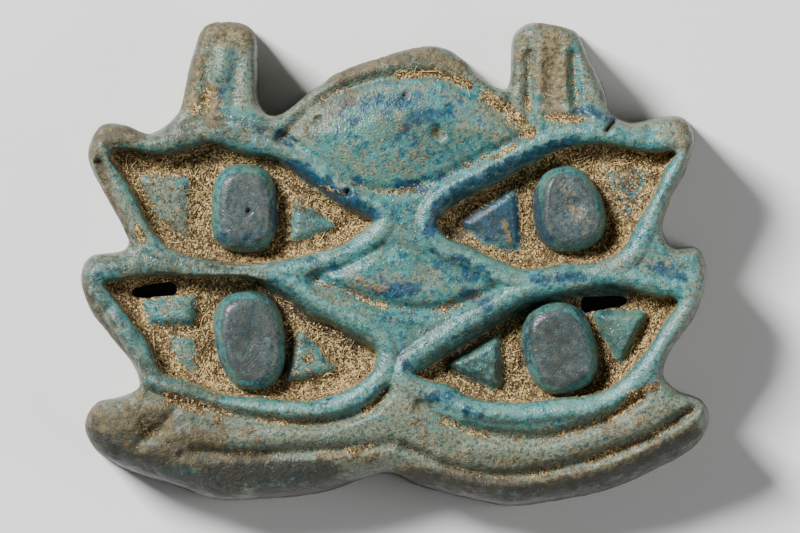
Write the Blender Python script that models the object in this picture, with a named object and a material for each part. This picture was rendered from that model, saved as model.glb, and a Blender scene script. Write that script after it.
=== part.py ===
"""A moulded faience amulet of four wedjat eyes, lying on its flat back.

Metres, with +Z up out of the decorated face, +X to the right of that face and +Y to its top.
The origin is at the middle of the flat back. The face is a relief: its height above the back is
worked out at each place from the drawing of the outline, the eye openings, the pupils, the pads
beside them and the grooves. The drawing's own unit is 1 mm on an amulet 42 mm wide.
"""

import math

import bmesh
import bpy
import numpy as np
from mathutils import Vector
from mathutils.geometry import delaunay_2d_cdt

# Overall sizes, in metres
WIDTH = 0.042
THICKNESS = 0.0080

# The side and its edges
BACK_ROUND = 0.0006
WALL_LEAN = 0.0004
EDGE_ROUND = 0.0008
LOBE_ROUND = 0.0020

# The eyes: sunk openings in raised rims, with a pupil and flat pads standing in each
EYE_DEPTH = 0.0022
EYE_WALL = 0.00035
RIM_RISE = 0.0003
RIM_WIDTH = 0.0013
PUPIL_RISE = 0.0021
PUPIL_SHOULDER = 0.0010
PAD_RISE = 0.0011
PAD_EDGE = 0.0004

# The rest of the face
FAN_RISE = 0.0005
ALMOND_RISE = 0.0002
HORN_DROP = 0.0006
LOBE_DROP = 0.0015
GROOVE_DEPTH = 0.0007
GROOVE_REACH = 0.0007
RIB_DEPTH = 0.0004
RIB_REACH = 0.0006
FAN_SLOPE = 0.0030
ALMOND_SLOPE = 0.0012

# The two slots, cut right through under the upper lids of the lower eyes
SLOT_WIDTH = 0.0009
SLOT_LENGTH = 0.0032

# How finely the surface is cut into triangles
OUTLINE_STEP = 0.00065
FEATURE_STEP = 0.00070
FILL_STEP = 0.0016
FILL_GAP = 0.00085
CLOSEST = 0.00023
SLOT_CORNERS = 7
GROOVE_STEP = 0.00100
PAD_GAP = 0.00050
EDGE_SHARES = (0.0, 0.3, 1.0)
SHOULDER_SHARES = (0.0, 0.25, 1.0)
BACK_TURNS = (45, 90)
NEAREST_SHARE = 0.85
PUPIL_SAMPLES = 96

# The outline, clockwise from the foot of the left horn
LEFT_HORN = [
    (-14.6, 10.0), (-14.1, 11.7), (-13.4, 14.4), (-12.8, 15.8), (-11.6, 16.1), (-9.9, 15.8),
    (-9.3, 15.0), (-9.2, 13.1), (-9.1, 10.9), (-8.6, 10.0),
]
FAN_TOP = [
    (-7.9, 9.9), (-5.6, 11.5), (-3.6, 12.8), (-1.1, 13.7), (1.0, 14.3), (3.1, 14.4),
    (4.6, 13.5), (6.2, 12.0),
]
RIGHT_HORN = [
    (7.4, 11.6), (7.7, 13.7), (7.9, 15.2), (8.9, 16.0), (10.8, 15.9), (12.1, 15.4),
    (12.9, 13.8), (14.0, 11.4), (14.4, 10.0), (15.7, 9.4),
]
UPPER_RIGHT_SIDE = [
    (17.6, 9.7), (19.2, 9.7), (20.0, 8.4), (19.4, 6.2), (18.4, 4.2), (17.9, 2.2), (18.5, 1.1),
]
LOWER_RIGHT_SIDE = [
    (20.2, 1.0), (20.8, -0.8), (20.0, -3.6), (18.4, -5.9), (17.9, -7.4), (18.7, -8.5),
]
RIGHT_LOBE = [
    (20.4, -9.2), (21.0, -10.5), (20.1, -12.2), (17.1, -14.0), (14.2, -15.2), (11.3, -15.8),
    (8.0, -16.3), (4.9, -15.8), (1.5, -14.9), (-0.4, -14.1),
]
LEFT_LOBE = [
    (-2.2, -14.5), (-5.0, -15.4), (-8.5, -15.8), (-12.3, -15.8), (-14.2, -15.1),
    (-18.0, -13.8), (-20.1, -12.5), (-20.8, -10.8), (-20.1, -9.5), (-18.2, -8.9),
    (-17.2, -8.3),
]
LOWER_LEFT_SIDE = [
    (-17.5, -7.0), (-19.1, -4.9), (-20.5, -3.0), (-21.05, -0.8), (-20.4, 0.4), (-18.3, 0.8),
    (-17.9, 1.3),
]
UPPER_LEFT_SIDE = [
    (-18.3, 2.4), (-19.4, 4.5), (-20.6, 7.2), (-19.7, 9.2), (-18.1, 9.2), (-16.4, 8.6),
]
OUTLINE = (
    LEFT_HORN + FAN_TOP + RIGHT_HORN + UPPER_RIGHT_SIDE + LOWER_RIGHT_SIDE
    + RIGHT_LOBE + LEFT_LOBE + LOWER_LEFT_SIDE + UPPER_LEFT_SIDE
)

# The four eye openings, each clockwise or anticlockwise from its outer corner along its upper lid
UPPER_LEFT_EYE = [
    (-19.2, 7.4), (-17.6, 7.6), (-15.6, 7.4), (-12.4, 8.1), (-9.6, 7.4), (-7.4, 6.9),
    (-5.4, 5.6), (-3.1, 4.0), (-1.3, 2.9), (-3.0, 1.3), (-5.7, 0.4), (-8.6, -0.2),
    (-11.5, -0.2), (-15.2, 0.9), (-16.6, 2.4), (-17.8, 4.9),
]
LOWER_LEFT_EYE = [
    (-19.7, -1.3), (-18.2, -1.0), (-16.0, -0.7), (-12.9, -0.8), (-9.4, -0.9), (-7.2, -1.9),
    (-5.4, -3.2), (-3.1, -4.3), (-1.2, -5.7), (-1.4, -7.2), (-3.2, -8.6), (-5.8, -9.4),
    (-9.0, -9.2), (-11.7, -8.9), (-13.6, -8.2), (-15.8, -7.3), (-16.5, -5.6),
    (-17.6, -4.2), (-18.8, -2.5),
]
UPPER_RIGHT_EYE = [
    (18.8, 7.4), (17.0, 7.5), (14.2, 8.0), (12.3, 8.0), (10.3, 7.6), (8.4, 6.8),
    (5.7, 5.3), (3.5, 4.1), (2.6, 2.6), (3.4, 1.5), (5.0, 0.9), (6.9, -0.1), (8.7, -0.6),
    (11.2, -0.3), (13.6, -0.1), (15.3, 0.8), (16.1, 2.3), (17.0, 3.8), (18.0, 6.0),
]
LOWER_RIGHT_EYE = [
    (19.0, -2.4), (17.6, -2.1), (15.6, -1.6), (14.0, -1.4), (12.3, -1.8), (10.5, -2.0),
    (8.9, -2.4), (6.6, -3.5), (4.4, -4.9), (2.1, -6.4), (1.0, -7.3), (2.0, -8.0),
    (3.4, -8.3), (5.2, -9.2), (8.4, -9.5), (10.9, -9.2), (13.3, -9.0), (15.0, -8.0),
    (16.5, -6.4), (17.9, -4.4),
]
EYES = [UPPER_LEFT_EYE, LOWER_LEFT_EYE, UPPER_RIGHT_EYE, LOWER_RIGHT_EYE]

# Each pupil: its middle, half width, half height, tilt to the left in degrees, and how much
# wider it is at the bottom than at the top
PUPIL_SQUARING = 0.82
PUPILS = [
    ((-10.1, 3.5), 2.1, 2.9, 0, 0.00),
    ((-9.8, -5.2), 2.25, 3.25, 8, -0.08),
    ((11.5, 3.6), 2.3, 2.9, 12, 0.14),
    ((10.9, -5.7), 2.4, 3.05, 15, 0.05),
]

# The pads, which stand for the whites of the eyes, each with its share of the full rise. The
# lower left eye's outer pad is in two.
PADS = [
    ([(-17.4, 6.2), (-13.7, 6.2), (-13.6, 1.1), (-15.7, 2.5)], 0.5),
    ([(-6.8, 4.7), (-3.2, 2.3), (-7.0, 1.2)], 0.5),
    ([(-16.8, -2.4), (-13.1, -2.1), (-13.1, -4.0), (-16.2, -4.0)], 0.7),
    ([(-15.3, -4.7), (-13.4, -4.8), (-13.1, -7.6), (-14.4, -7.0)], 0.4),
    ([(-6.4, -4.2), (-3.4, -7.3), (-7.5, -8.2)], 0.6),
    ([(4.6, 3.0), (8.4, 5.2), (8.5, 0.5)], 0.7),
    ([(13.0, 6.6), (17.6, 6.5), (15.7, 2.0)], 0.3),
    ([(3.6, -6.6), (6.8, -5.3), (6.9, -8.4)], 1.0),
    ([(13.2, -3.2), (16.9, -3.2), (15.0, -6.6)], 1.0),
]

# The fan between the horns and the almond at the centre, each an upper and a lower arc
FAN_UPPER_ARC = [(-7.5, 8.3), (-5.2, 10.7), (-1.6, 12.1), (2.4, 12.5), (5.6, 11.1), (8.5, 8.4)]
FAN_LOWER_ARC = [(8.5, 8.4), (6.2, 7.2), (3.0, 5.6), (-0.6, 4.7), (-3.6, 5.5), (-7.5, 8.3)]
ALMOND_UPPER_ARC = [(-5.4, -1.1), (-2.6, 0.3), (-0.1, 1.0), (2.4, 0.2), (6.6, -1.8)]
ALMOND_LOWER_ARC = [(6.6, -1.8), (3.6, -3.0), (0.4, -3.1), (-2.4, -2.3), (-5.4, -1.1)]

# Pressed grooves, each a line with its share of the full groove's depth
GROOVES = [
    (FAN_UPPER_ARC, 1.0),
    (FAN_LOWER_ARC, 0.5),
    (ALMOND_UPPER_ARC, 0.5),
    (ALMOND_LOWER_ARC, 0.6),
    ([(-16.4, -8.7), (-13.0, -9.6), (-9.0, -10.4), (-5.0, -10.7), (-1.7, -9.7), (-0.6, -8.6)], 1.0),
    ([(1.6, -9.6), (4.2, -11.0), (7.0, -11.6), (10.0, -11.7), (13.6, -10.6), (16.4, -9.0)], 1.0),
    ([(-13.4, -12.6), (-9.7, -12.8), (-6.4, -12.6), (-3.0, -12.4), (-0.2, -12.1)], 0.8),
    ([(0.6, -12.3), (4.0, -13.8), (8.0, -14.2), (13.4, -13.0), (17.8, -11.2), (19.8, -9.8)], 1.0),
    ([(-14.6, -9.6), (-15.6, -11.0), (-17.2, -12.2)], 0.6),
]

# Ribs of the horns: the lines pressed between them, and across the foot of each horn
RIB_LINES = [
    [(-12.5, 13.6), (-12.6, 10.0)],
    [(-10.6, 13.2), (-10.9, 10.4)],
    [(-13.9, 9.3), (-11.4, 9.4)],
    [(8.9, 13.2), (8.8, 10.2)],
    [(10.6, 13.8), (10.4, 10.8)],
    [(11.8, 13.4), (12.3, 9.8)],
    [(10.2, 9.9), (12.6, 9.6)],
]

# Each slot: its middle, and its slope in degrees
SLOTS = [((-16.1, -1.9), 5), ((13.9, -2.65), 4)]

# Where the horns and the lobes begin, in the drawing
HORN_FOOT = 9.6
HORN_INNER_SIDES = (-8.6, 7.4)
LOBE_TOP = -9.4
LOBE_FOOT = -16.0

FINE = 0.2
CURVE_SAMPLES = 16
TINY = 1e-9


def spline(points, closed=True, step=FINE):
    """Centripetal Catmull-Rom curve through the points, cut into even steps along its length."""
    points = np.asarray(points, float)
    if closed:
        padded = np.vstack([points[-1:], points, points[:2]])
    else:
        first = 2 * points[0] - points[1]
        last = 2 * points[-1] - points[-2]
        padded = np.vstack([first, points, last])
    pieces = []
    for a, b, c, d in zip(padded, padded[1:], padded[2:], padded[3:]):
        t0 = 0.0
        t1 = t0 + math.sqrt(math.dist(a, b))
        t2 = t1 + math.sqrt(math.dist(b, c))
        t3 = t2 + math.sqrt(math.dist(c, d))
        t = np.linspace(t1, t2, CURVE_SAMPLES, endpoint=False)[:, None]
        ab = ((t1 - t) * a + (t - t0) * b) / (t1 - t0)
        bc = ((t2 - t) * b + (t - t1) * c) / (t2 - t1)
        cd = ((t3 - t) * c + (t - t2) * d) / (t3 - t2)
        abc = ((t2 - t) * ab + (t - t0) * bc) / (t2 - t0)
        bcd = ((t3 - t) * bc + (t - t1) * cd) / (t3 - t1)
        pieces.append(((t2 - t) * abc + (t - t1) * bcd) / (t2 - t1))
    curve = np.vstack(pieces + [points[:1] if closed else points[-1:]])
    return even_steps(curve, step, closed)


def even_steps(curve, step, closed):
    """The same curve with its points a step apart; a closed one doesn't repeat its first."""
    along = np.concatenate([[0.0], np.cumsum(np.linalg.norm(np.diff(curve, axis=0), axis=1))])
    count = max(3, round(along[-1] / step)) + 1
    at = np.linspace(0.0, along[-1], count)
    even = np.stack([np.interp(at, along, curve[:, i]) for i in (0, 1)], axis=1)
    return even[:-1] if closed else even


def lens(upper, lower, step=FINE):
    """A pointed closed loop made of an upper and a lower arc."""
    top = spline(upper, closed=False, step=step)
    bottom = spline(lower, closed=False, step=step)
    return np.vstack([top, bottom[1:-1]])


def pupil_loop(middle, half_width, half_height, tilt, egg, step=FINE):
    """A tilted egg, slightly squared, as the moulded pupils are."""
    turn = np.linspace(0.0, 2 * math.pi, PUPIL_SAMPLES)
    x = np.sign(np.cos(turn)) * np.abs(np.cos(turn)) ** PUPIL_SQUARING
    y = np.sign(np.sin(turn)) * np.abs(np.sin(turn)) ** PUPIL_SQUARING
    x = half_width * x * (1 - egg * y)
    y = half_height * y
    lean = math.radians(tilt)
    loop = np.stack(
        [
            middle[0] + x * math.cos(lean) - y * math.sin(lean),
            middle[1] + x * math.sin(lean) + y * math.cos(lean),
        ],
        axis=1,
    )
    return even_steps(loop, step, closed=True)


def polygon_loop(corners, step=FINE):
    """A straight-sided closed loop."""
    corners = np.asarray(corners, float)
    return even_steps(np.vstack([corners, corners[:1]]), step, closed=True)


def slot_loop(middle, slope):
    """A slot with round ends, in metres."""
    half = (SLOT_LENGTH - SLOT_WIDTH) / 2
    lean = math.radians(slope)
    along = np.array([math.cos(lean), math.sin(lean)])
    across = np.array([-along[1], along[0]])
    points = []
    for end in (1, -1):
        for i in range(SLOT_CORNERS):
            turn = math.pi * (i / (SLOT_CORNERS - 1) - 0.5)
            reach = end * (half + SLOT_WIDTH / 2 * math.cos(turn))
            side = end * SLOT_WIDTH / 2 * math.sin(turn)
            points.append(np.asarray(middle) * UNIT + reach * along + side * across)
    return np.array(points)


def line_distance(xy, line, closed):
    """Distance from each place to the nearest point of a line of short pieces."""
    start = line if closed else line[:-1]
    piece = np.roll(line, -1, axis=0) - line if closed else np.diff(line, axis=0)
    length = np.maximum((piece**2).sum(1), 1e-18)
    nearest = np.full(len(xy), np.inf)
    for a, run, squared in zip(start, piece, length):
        away = xy - a
        share = np.clip(away @ run / squared, 0.0, 1.0)
        gap = away - share[:, None] * run
        nearest = np.minimum(nearest, (gap**2).sum(1))
    return np.sqrt(nearest)


def depth_inside(xy, loop):
    """Distance from each place to a closed loop, positive inside it and negative outside."""
    after = np.roll(loop, -1, axis=0)
    inside = np.zeros(len(xy), bool)
    for a, b in zip(loop, after):
        crosses = (a[1] > xy[:, 1]) != (b[1] > xy[:, 1])
        rise = b[1] - a[1] if b[1] != a[1] else 1e-18
        at = a[0] + (xy[:, 1] - a[1]) / rise * (b[0] - a[0])
        inside ^= crosses & (xy[:, 0] < at)
    return np.where(inside, 1.0, -1.0) * line_distance(xy, loop, closed=True)


def ease(share):
    """0 below 0, 1 above 1, and a smooth rise between."""
    share = np.clip(share, 0.0, 1.0)
    return share * share * (3 - 2 * share)


def dome(share):
    """A quarter circle's rise: steep at 0, level at 1."""
    return np.sqrt(1.0 - (1.0 - np.clip(share, 0.0, 1.0)) ** 2)


# The drawing at its real size, in metres
DRAWN_OUTLINE = spline(OUTLINE)
UNIT = WIDTH / np.ptp(DRAWN_OUTLINE[:, 0])
outline = DRAWN_OUTLINE * UNIT
eyes = [spline(eye) * UNIT for eye in EYES]
pupils = [pupil_loop(*pupil) * UNIT for pupil in PUPILS]
pads = [(polygon_loop(pad) * UNIT, share) for pad, share in PADS]
fan = lens(FAN_UPPER_ARC, FAN_LOWER_ARC) * UNIT
almond = lens(ALMOND_UPPER_ARC, ALMOND_LOWER_ARC) * UNIT
grooves = [(spline(line, closed=False) * UNIT, share) for line, share in GROOVES]
rib_lines = [spline(line, closed=False) * UNIT for line in RIB_LINES]
slots = [slot_loop(*slot) for slot in SLOTS]


def face_level(xy):
    """The level of the face before its edges are rounded and its eyes are sunk."""
    x, y = xy.T / UNIT
    left, right = HORN_INNER_SIDES
    on_horn = ease(y - HORN_FOOT) * ((x < left) | (x > right))
    on_lobe = ease((LOBE_TOP - y) / (LOBE_TOP - LOBE_FOOT))
    level = THICKNESS - RIM_RISE - HORN_DROP * on_horn - LOBE_DROP * on_lobe
    level = level + FAN_RISE * ease(depth_inside(xy, fan) / FAN_SLOPE)
    level = level + ALMOND_RISE * ease(depth_inside(xy, almond) / ALMOND_SLOPE)
    for line, share in grooves:
        away = line_distance(xy, line, closed=False) / GROOVE_REACH
        level = level - GROOVE_DEPTH * share * ease(1.0 - away)
    for line in rib_lines:
        away = line_distance(xy, line, closed=False) / RIB_REACH
        level = level - RIB_DEPTH * ease(1.0 - away)
    return level


def height(xy):
    """The height of the front of the amulet above its flat back, at each place."""
    level = face_level(xy)
    beside = [-depth_inside(xy, eye) for eye in eyes]
    for away in beside:
        crest = 1.0 - (2.0 * away / RIM_WIDTH - 1.0) ** 2
        level = level + RIM_RISE * np.clip(crest, 0.0, 1.0)

    inward = depth_inside(xy, outline)
    on_lobe = ease((LOBE_TOP * UNIT - xy[:, 1]) / LOBE_ROUND)
    turn = EDGE_ROUND + (LOBE_ROUND - EDGE_ROUND) * on_lobe
    shoulder = level - turn * (1.0 - dome((inward - WALL_LEAN) / turn))
    climb = np.clip(inward / WALL_LEAN, 0.0, 1.0)
    surface = BACK_ROUND + (shoulder - BACK_ROUND) * climb

    floor = THICKNESS - EYE_DEPTH
    for away in beside:
        sunk = ease(-away / EYE_WALL)
        surface = surface + (floor - surface) * sunk
    raised = np.zeros(len(xy))
    for pad, share in pads:
        swell = share * ease(depth_inside(xy, pad) / PAD_EDGE)
        raised = np.maximum(raised, PAD_RISE * swell)
    for pupil in pupils:
        swell = dome(depth_inside(xy, pupil) / PUPIL_SHOULDER)
        raised = np.maximum(raised, PUPIL_RISE * swell)
    return surface + raised


def outward(loop):
    """The direction straight out of a closed loop at each of its points."""
    run = np.roll(loop, -1, axis=0) - np.roll(loop, 1, axis=0)
    side = np.stack([run[:, 1], -run[:, 0]], axis=1)
    side = side / np.linalg.norm(side, axis=1, keepdims=True)
    turning = np.sum(loop[:, 0] * np.roll(loop[:, 1], -1) - loop[:, 1] * np.roll(loop[:, 0], -1))
    return side if turning > 0 else -side


def rows_beside(line, offsets, closed):
    """Rows of places beside a line, each a given way off it, where no other part is nearer."""
    if closed:
        side = outward(line)
    else:
        run = np.gradient(line, axis=0)
        side = np.stack([run[:, 1], -run[:, 0]], axis=1)
        side = side / np.linalg.norm(side, axis=1, keepdims=True)
    rows = []
    for offset in offsets:
        row = line + offset * side
        away = line_distance(row, line, closed)
        rows.append(row[away >= NEAREST_SHARE * abs(offset) - TINY])
    return np.vstack(rows)


def along(line, step, closed):
    """A line's points, a step apart."""
    whole = np.vstack([line, line[:1]]) if closed else line
    return even_steps(whole, step, closed)


class Places:
    """Places on the face, kept only where they aren't too close to those already there."""

    def __init__(self, fixed):
        self.kept = np.array(fixed)

    def add(self, more, gap):
        inside = depth_inside(more, outline) > CLOSEST
        for slot in slots:
            inside &= depth_inside(more, slot) < -CLOSEST
        more = more[inside]
        room = np.empty((len(self.kept) + len(more), 2))
        count = len(self.kept)
        room[:count] = self.kept
        for place in more:
            away = room[:count] - place
            if (away**2).sum(1).min() > gap**2:
                room[count] = place
                count += 1
        self.kept = room[:count]


def front_places(rim):
    """Every place on the face where the surface gets a corner, the outline's and slots' first."""
    places = Places(np.vstack([rim] + slots))
    for eye in eyes:
        row = along(eye, FEATURE_STEP, closed=True)
        offsets = (0.0, -EYE_WALL, 0.5 * RIM_WIDTH, RIM_WIDTH)
        places.add(rows_beside(row, offsets, closed=True), CLOSEST)
    for pupil in pupils:
        row = along(pupil, FEATURE_STEP, closed=True)
        offsets = [-share * PUPIL_SHOULDER for share in SHOULDER_SHARES]
        places.add(rows_beside(row, offsets, closed=True), CLOSEST)
    for pad, _ in pads:
        row = along(pad, FEATURE_STEP, closed=True)
        places.add(rows_beside(row, (0.0, -PAD_EDGE), closed=True), CLOSEST)
        top = grid(pad, FEATURE_STEP)
        places.add(top[depth_inside(top, pad) > PAD_EDGE], PAD_GAP)
    for share in EDGE_SHARES:
        inset = WALL_LEAN + share * EDGE_ROUND
        places.add(rows_beside(rim, (-inset,), closed=True), CLOSEST)
    for line, _ in grooves:
        row = along(line, GROOVE_STEP, closed=False)
        offsets = [share * GROOVE_REACH for share in (0.0, 0.5, -0.5, 1.0, -1.0)]
        places.add(rows_beside(row, offsets, closed=False), CLOSEST)
    for line in rib_lines:
        row = along(line, FEATURE_STEP, closed=False)
        places.add(rows_beside(row, (0.0, RIB_REACH, -RIB_REACH), closed=False), CLOSEST)
    places.add(grid(rim, FILL_STEP), FILL_GAP)
    return places.kept


def grid(loop, step):
    """Evenly staggered places over the whole box of a loop."""
    low, high = loop.min(0), loop.max(0)
    rows = []
    for j, y in enumerate(np.arange(low[1], high[1], step * math.sqrt(3) / 2)):
        x = np.arange(low[0] + (j % 2) * step / 2, high[0], step)
        rows.append(np.stack([x, np.full(len(x), y)], axis=1))
    return np.vstack(rows)


def triangles(places, loops):
    """Triangles between the places, inside the first loop and outside the others.

    Each loop is the run of the places' numbers that goes round it."""
    edges = []
    for loop in loops:
        edges += [(a, b) for a, b in zip(loop, loop[1:] + loop[:1])]
    found = delaunay_2d_cdt([Vector(p) for p in places.tolist()], edges, [], 0, 1e-9)
    corners = np.array([tuple(v) for v in found[0]])
    first = [origin[0] for origin in found[3]]
    faces = np.array(found[2])
    middle = corners[faces].mean(1)
    keep = depth_inside(middle, places[loops[0]]) > 0
    for loop in loops[1:]:
        keep &= depth_inside(middle, places[loop]) < 0
    return [[first[i] for i in face] for face in faces[keep]]


def numbered(loops):
    """The runs of numbers that loops take when their places are listed one after another."""
    runs = []
    start = 0
    for loop in loops:
        runs.append(list(range(start, start + len(loop))))
        start += len(loop)
    return runs


def build_mesh():
    """The closed body: the relief, the side with its rounded back edge, and the flat back."""
    rim = along(outline, OUTLINE_STEP, closed=True)
    runs = numbered([rim] + slots)
    places = front_places(rim)
    bm = bmesh.new()
    tall = height(places)
    tall[runs[0]] = BACK_ROUND
    front = [bm.verts.new((p[0], p[1], z)) for p, z in zip(places, tall)]
    for face in triangles(places, runs):
        bm.faces.new([front[i] for i in face])

    side = outward(rim)
    upper = [front[i] for i in runs[0]]
    for turn in BACK_TURNS:
        inset = BACK_ROUND * (1 - math.cos(math.radians(turn)))
        z = BACK_ROUND * (1 - math.sin(math.radians(turn)))
        ring = rim - inset * side
        lower = [bm.verts.new((p[0], p[1], z)) for p in ring]
        join(bm, upper, lower)
        upper = lower
    back_loops = [ring]
    back = list(upper)
    for slot, run in zip(slots, runs[1:]):
        mouth = [bm.verts.new((p[0], p[1], 0.0)) for p in slot]
        join(bm, [front[i] for i in run], mouth)
        back_loops.append(slot)
        back += mouth

    fill = grid(ring, 2 * FILL_STEP)
    clear = depth_inside(fill, ring) > FILL_GAP
    for slot in slots:
        clear &= depth_inside(fill, slot) < -FILL_GAP
    fill = fill[clear]
    back += [bm.verts.new((p[0], p[1], 0.0)) for p in fill]
    for face in triangles(np.vstack(back_loops + [fill]), numbered(back_loops)):
        bm.faces.new([back[i] for i in face])

    bmesh.ops.recalc_face_normals(bm, faces=bm.faces)
    bmesh.ops.triangulate(bm, faces=bm.faces)
    mesh = bpy.data.meshes.new("quadruple_eye_amulet")
    bm.to_mesh(mesh)
    bm.free()
    return mesh


def join(bm, upper, lower):
    """A band of faces between two loops of as many corners."""
    for i in range(len(upper)):
        j = (i + 1) % len(upper)
        bm.faces.new((upper[i], upper[j], lower[j], lower[i]))


def faience():
    """Blue-green glazed faience, worn and a little dusty."""
    material = bpy.data.materials.new("turquoise faience")
    material.use_nodes = True
    shader = material.node_tree.nodes["Principled BSDF"]
    shader.inputs["Base Color"].default_value = (0.10, 0.27, 0.27, 1.0)
    shader.inputs["Roughness"].default_value = 0.32
    shader.inputs["Metallic"].default_value = 0.0
    return material


def amulet():
    """The amulet, with the middle of its box over the origin."""
    mesh = build_mesh()
    count = len(mesh.vertices)
    points = np.empty(count * 3)
    mesh.vertices.foreach_get("co", points)
    points = points.reshape(-1, 3)
    middle = (points.min(0) + points.max(0)) / 2
    points[:, :2] -= middle[:2]
    mesh.vertices.foreach_set("co", points.ravel())
    mesh.materials.append(faience())
    mesh.shade_smooth()
    body = bpy.data.objects.new("quadruple_eye_amulet", mesh)
    bpy.context.scene.collection.objects.link(body)
    return body


for thing in list(bpy.data.objects):
    bpy.data.objects.remove(thing, do_unlink=True)
amulet()
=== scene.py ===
"""A moulded faience amulet of four wedjat eyes, lying on its flat back under soft light.

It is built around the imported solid: the amulet's own fine surface, the grit and the fibres that
have gathered in its hollows, the table it lies on, the lights and the camera.
"""

import math

import bpy
import numpy as np
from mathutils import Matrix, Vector
from mathutils.geometry import delaunay_2d_cdt


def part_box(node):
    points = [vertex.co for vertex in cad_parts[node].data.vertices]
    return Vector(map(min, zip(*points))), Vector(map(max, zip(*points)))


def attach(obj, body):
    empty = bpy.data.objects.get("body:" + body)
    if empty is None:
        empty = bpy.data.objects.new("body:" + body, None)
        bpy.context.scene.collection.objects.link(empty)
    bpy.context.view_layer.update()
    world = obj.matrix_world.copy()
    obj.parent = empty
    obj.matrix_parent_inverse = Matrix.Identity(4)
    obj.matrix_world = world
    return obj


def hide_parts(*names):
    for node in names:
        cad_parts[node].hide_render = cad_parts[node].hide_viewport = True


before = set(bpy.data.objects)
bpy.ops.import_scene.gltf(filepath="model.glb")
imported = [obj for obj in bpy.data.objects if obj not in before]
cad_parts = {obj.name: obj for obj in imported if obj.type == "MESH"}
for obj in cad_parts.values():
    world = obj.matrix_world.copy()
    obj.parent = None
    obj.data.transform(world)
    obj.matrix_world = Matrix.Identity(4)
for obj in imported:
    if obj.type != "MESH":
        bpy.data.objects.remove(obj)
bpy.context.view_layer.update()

# The amulet: quartz paste pressed into an open mould, dried, and fired under a copper glaze that
# ran thick and dark into its hollows. Its face is a relief of four eyes, two horns, a fan and two
# lobes; its back is flat. Sizes are in millimetres, X to the right of the face and Y to its top.
THICKNESS = 8.0
BACK_ROUND = 0.6
WALL_LEAN = 0.15
EDGE_ROUND = 0.8
LOBE_ROUND = 2.0
EYE_DEPTH = 2.2
EYE_WALL = 0.35
UPPER_WALL = 0.45
UPPER_SLANT = 1.8
GRIT_FILLET = 0.35
FILLET_WIDTH = 0.9
RIM_RISE = 0.3
RIM_WIDTH = 1.3
PUPIL_RISE = 2.1
PUPIL_SHOULDER = 1.0
PAD_RISE = 1.1
PAD_SHRINK = 0.70
PAD_SWELL = 0.75
PAD_SLOPES = (1.20, 0.95)
PAD_EDGE = 0.55
FAN_RISE = 0.5
FAN_SLOPE = 3.0
ALMOND_RISE = 0.2
ALMOND_SLOPE = 1.2
HORN_DROP = 0.6
HORN_SHOULDER = 0.5
LOBE_DROP = 1.5
GROOVE_DEPTH = 0.7
GROOVE_REACH = 0.7
RIB_DEPTH = 0.4
RIB_REACH = 0.6
RIB_GRIT = 0.42
SLOT_WIDTH = 0.9
SLOT_LENGTH = 3.2

# The steps that the drawn lines are cut into, and how far from a line its nearness still counts
LINE_STEP = 0.2
SLOT_STEP = 0.1
FOLLOWED = 2.5

OUTLINE = [
    (-14.6, 10.0), (-14.1, 11.7), (-13.4, 14.4), (-12.8, 15.8), (-11.6, 16.1), (-9.9, 15.8),
    (-9.3, 15.0), (-9.2, 13.1), (-9.1, 10.9), (-8.6, 10.0), (-7.9, 9.9), (-5.6, 11.5),
    (-3.6, 12.8), (-1.1, 13.7), (1.0, 14.3), (3.1, 14.4), (4.6, 13.5), (6.2, 12.0),
    (7.4, 11.6), (7.7, 13.7), (7.9, 15.2), (8.9, 16.0), (10.8, 15.9), (12.1, 15.4),
    (12.9, 13.8), (14.0, 11.4), (14.4, 10.0), (15.7, 9.4), (17.6, 9.7), (19.2, 9.7),
    (20.0, 8.4), (19.4, 6.2), (18.4, 4.2), (17.9, 2.2), (18.5, 1.1), (20.2, 1.0),
    (20.8, -0.8), (20.0, -3.6), (18.4, -5.9), (17.9, -7.4), (18.7, -8.5), (20.4, -9.2),
    (21.0, -10.5), (20.1, -12.2), (17.1, -14.0), (14.2, -15.2), (11.3, -15.8), (8.0, -16.3),
    (4.9, -15.8), (1.5, -14.9), (-0.4, -14.1), (-2.2, -14.5), (-5.0, -15.4), (-8.5, -15.8),
    (-12.3, -15.8), (-14.2, -15.1), (-18.0, -13.8), (-20.1, -12.5), (-20.8, -10.8),
    (-20.1, -9.5), (-18.2, -8.9), (-17.2, -8.3), (-17.5, -7.0), (-19.1, -4.9), (-20.5, -3.0),
    (-21.05, -0.8), (-20.4, 0.4), (-18.3, 0.8), (-17.9, 1.3), (-18.3, 2.4), (-19.4, 4.5),
    (-20.6, 7.2), (-19.7, 9.2), (-18.1, 9.2), (-16.4, 8.6),
]
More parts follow.
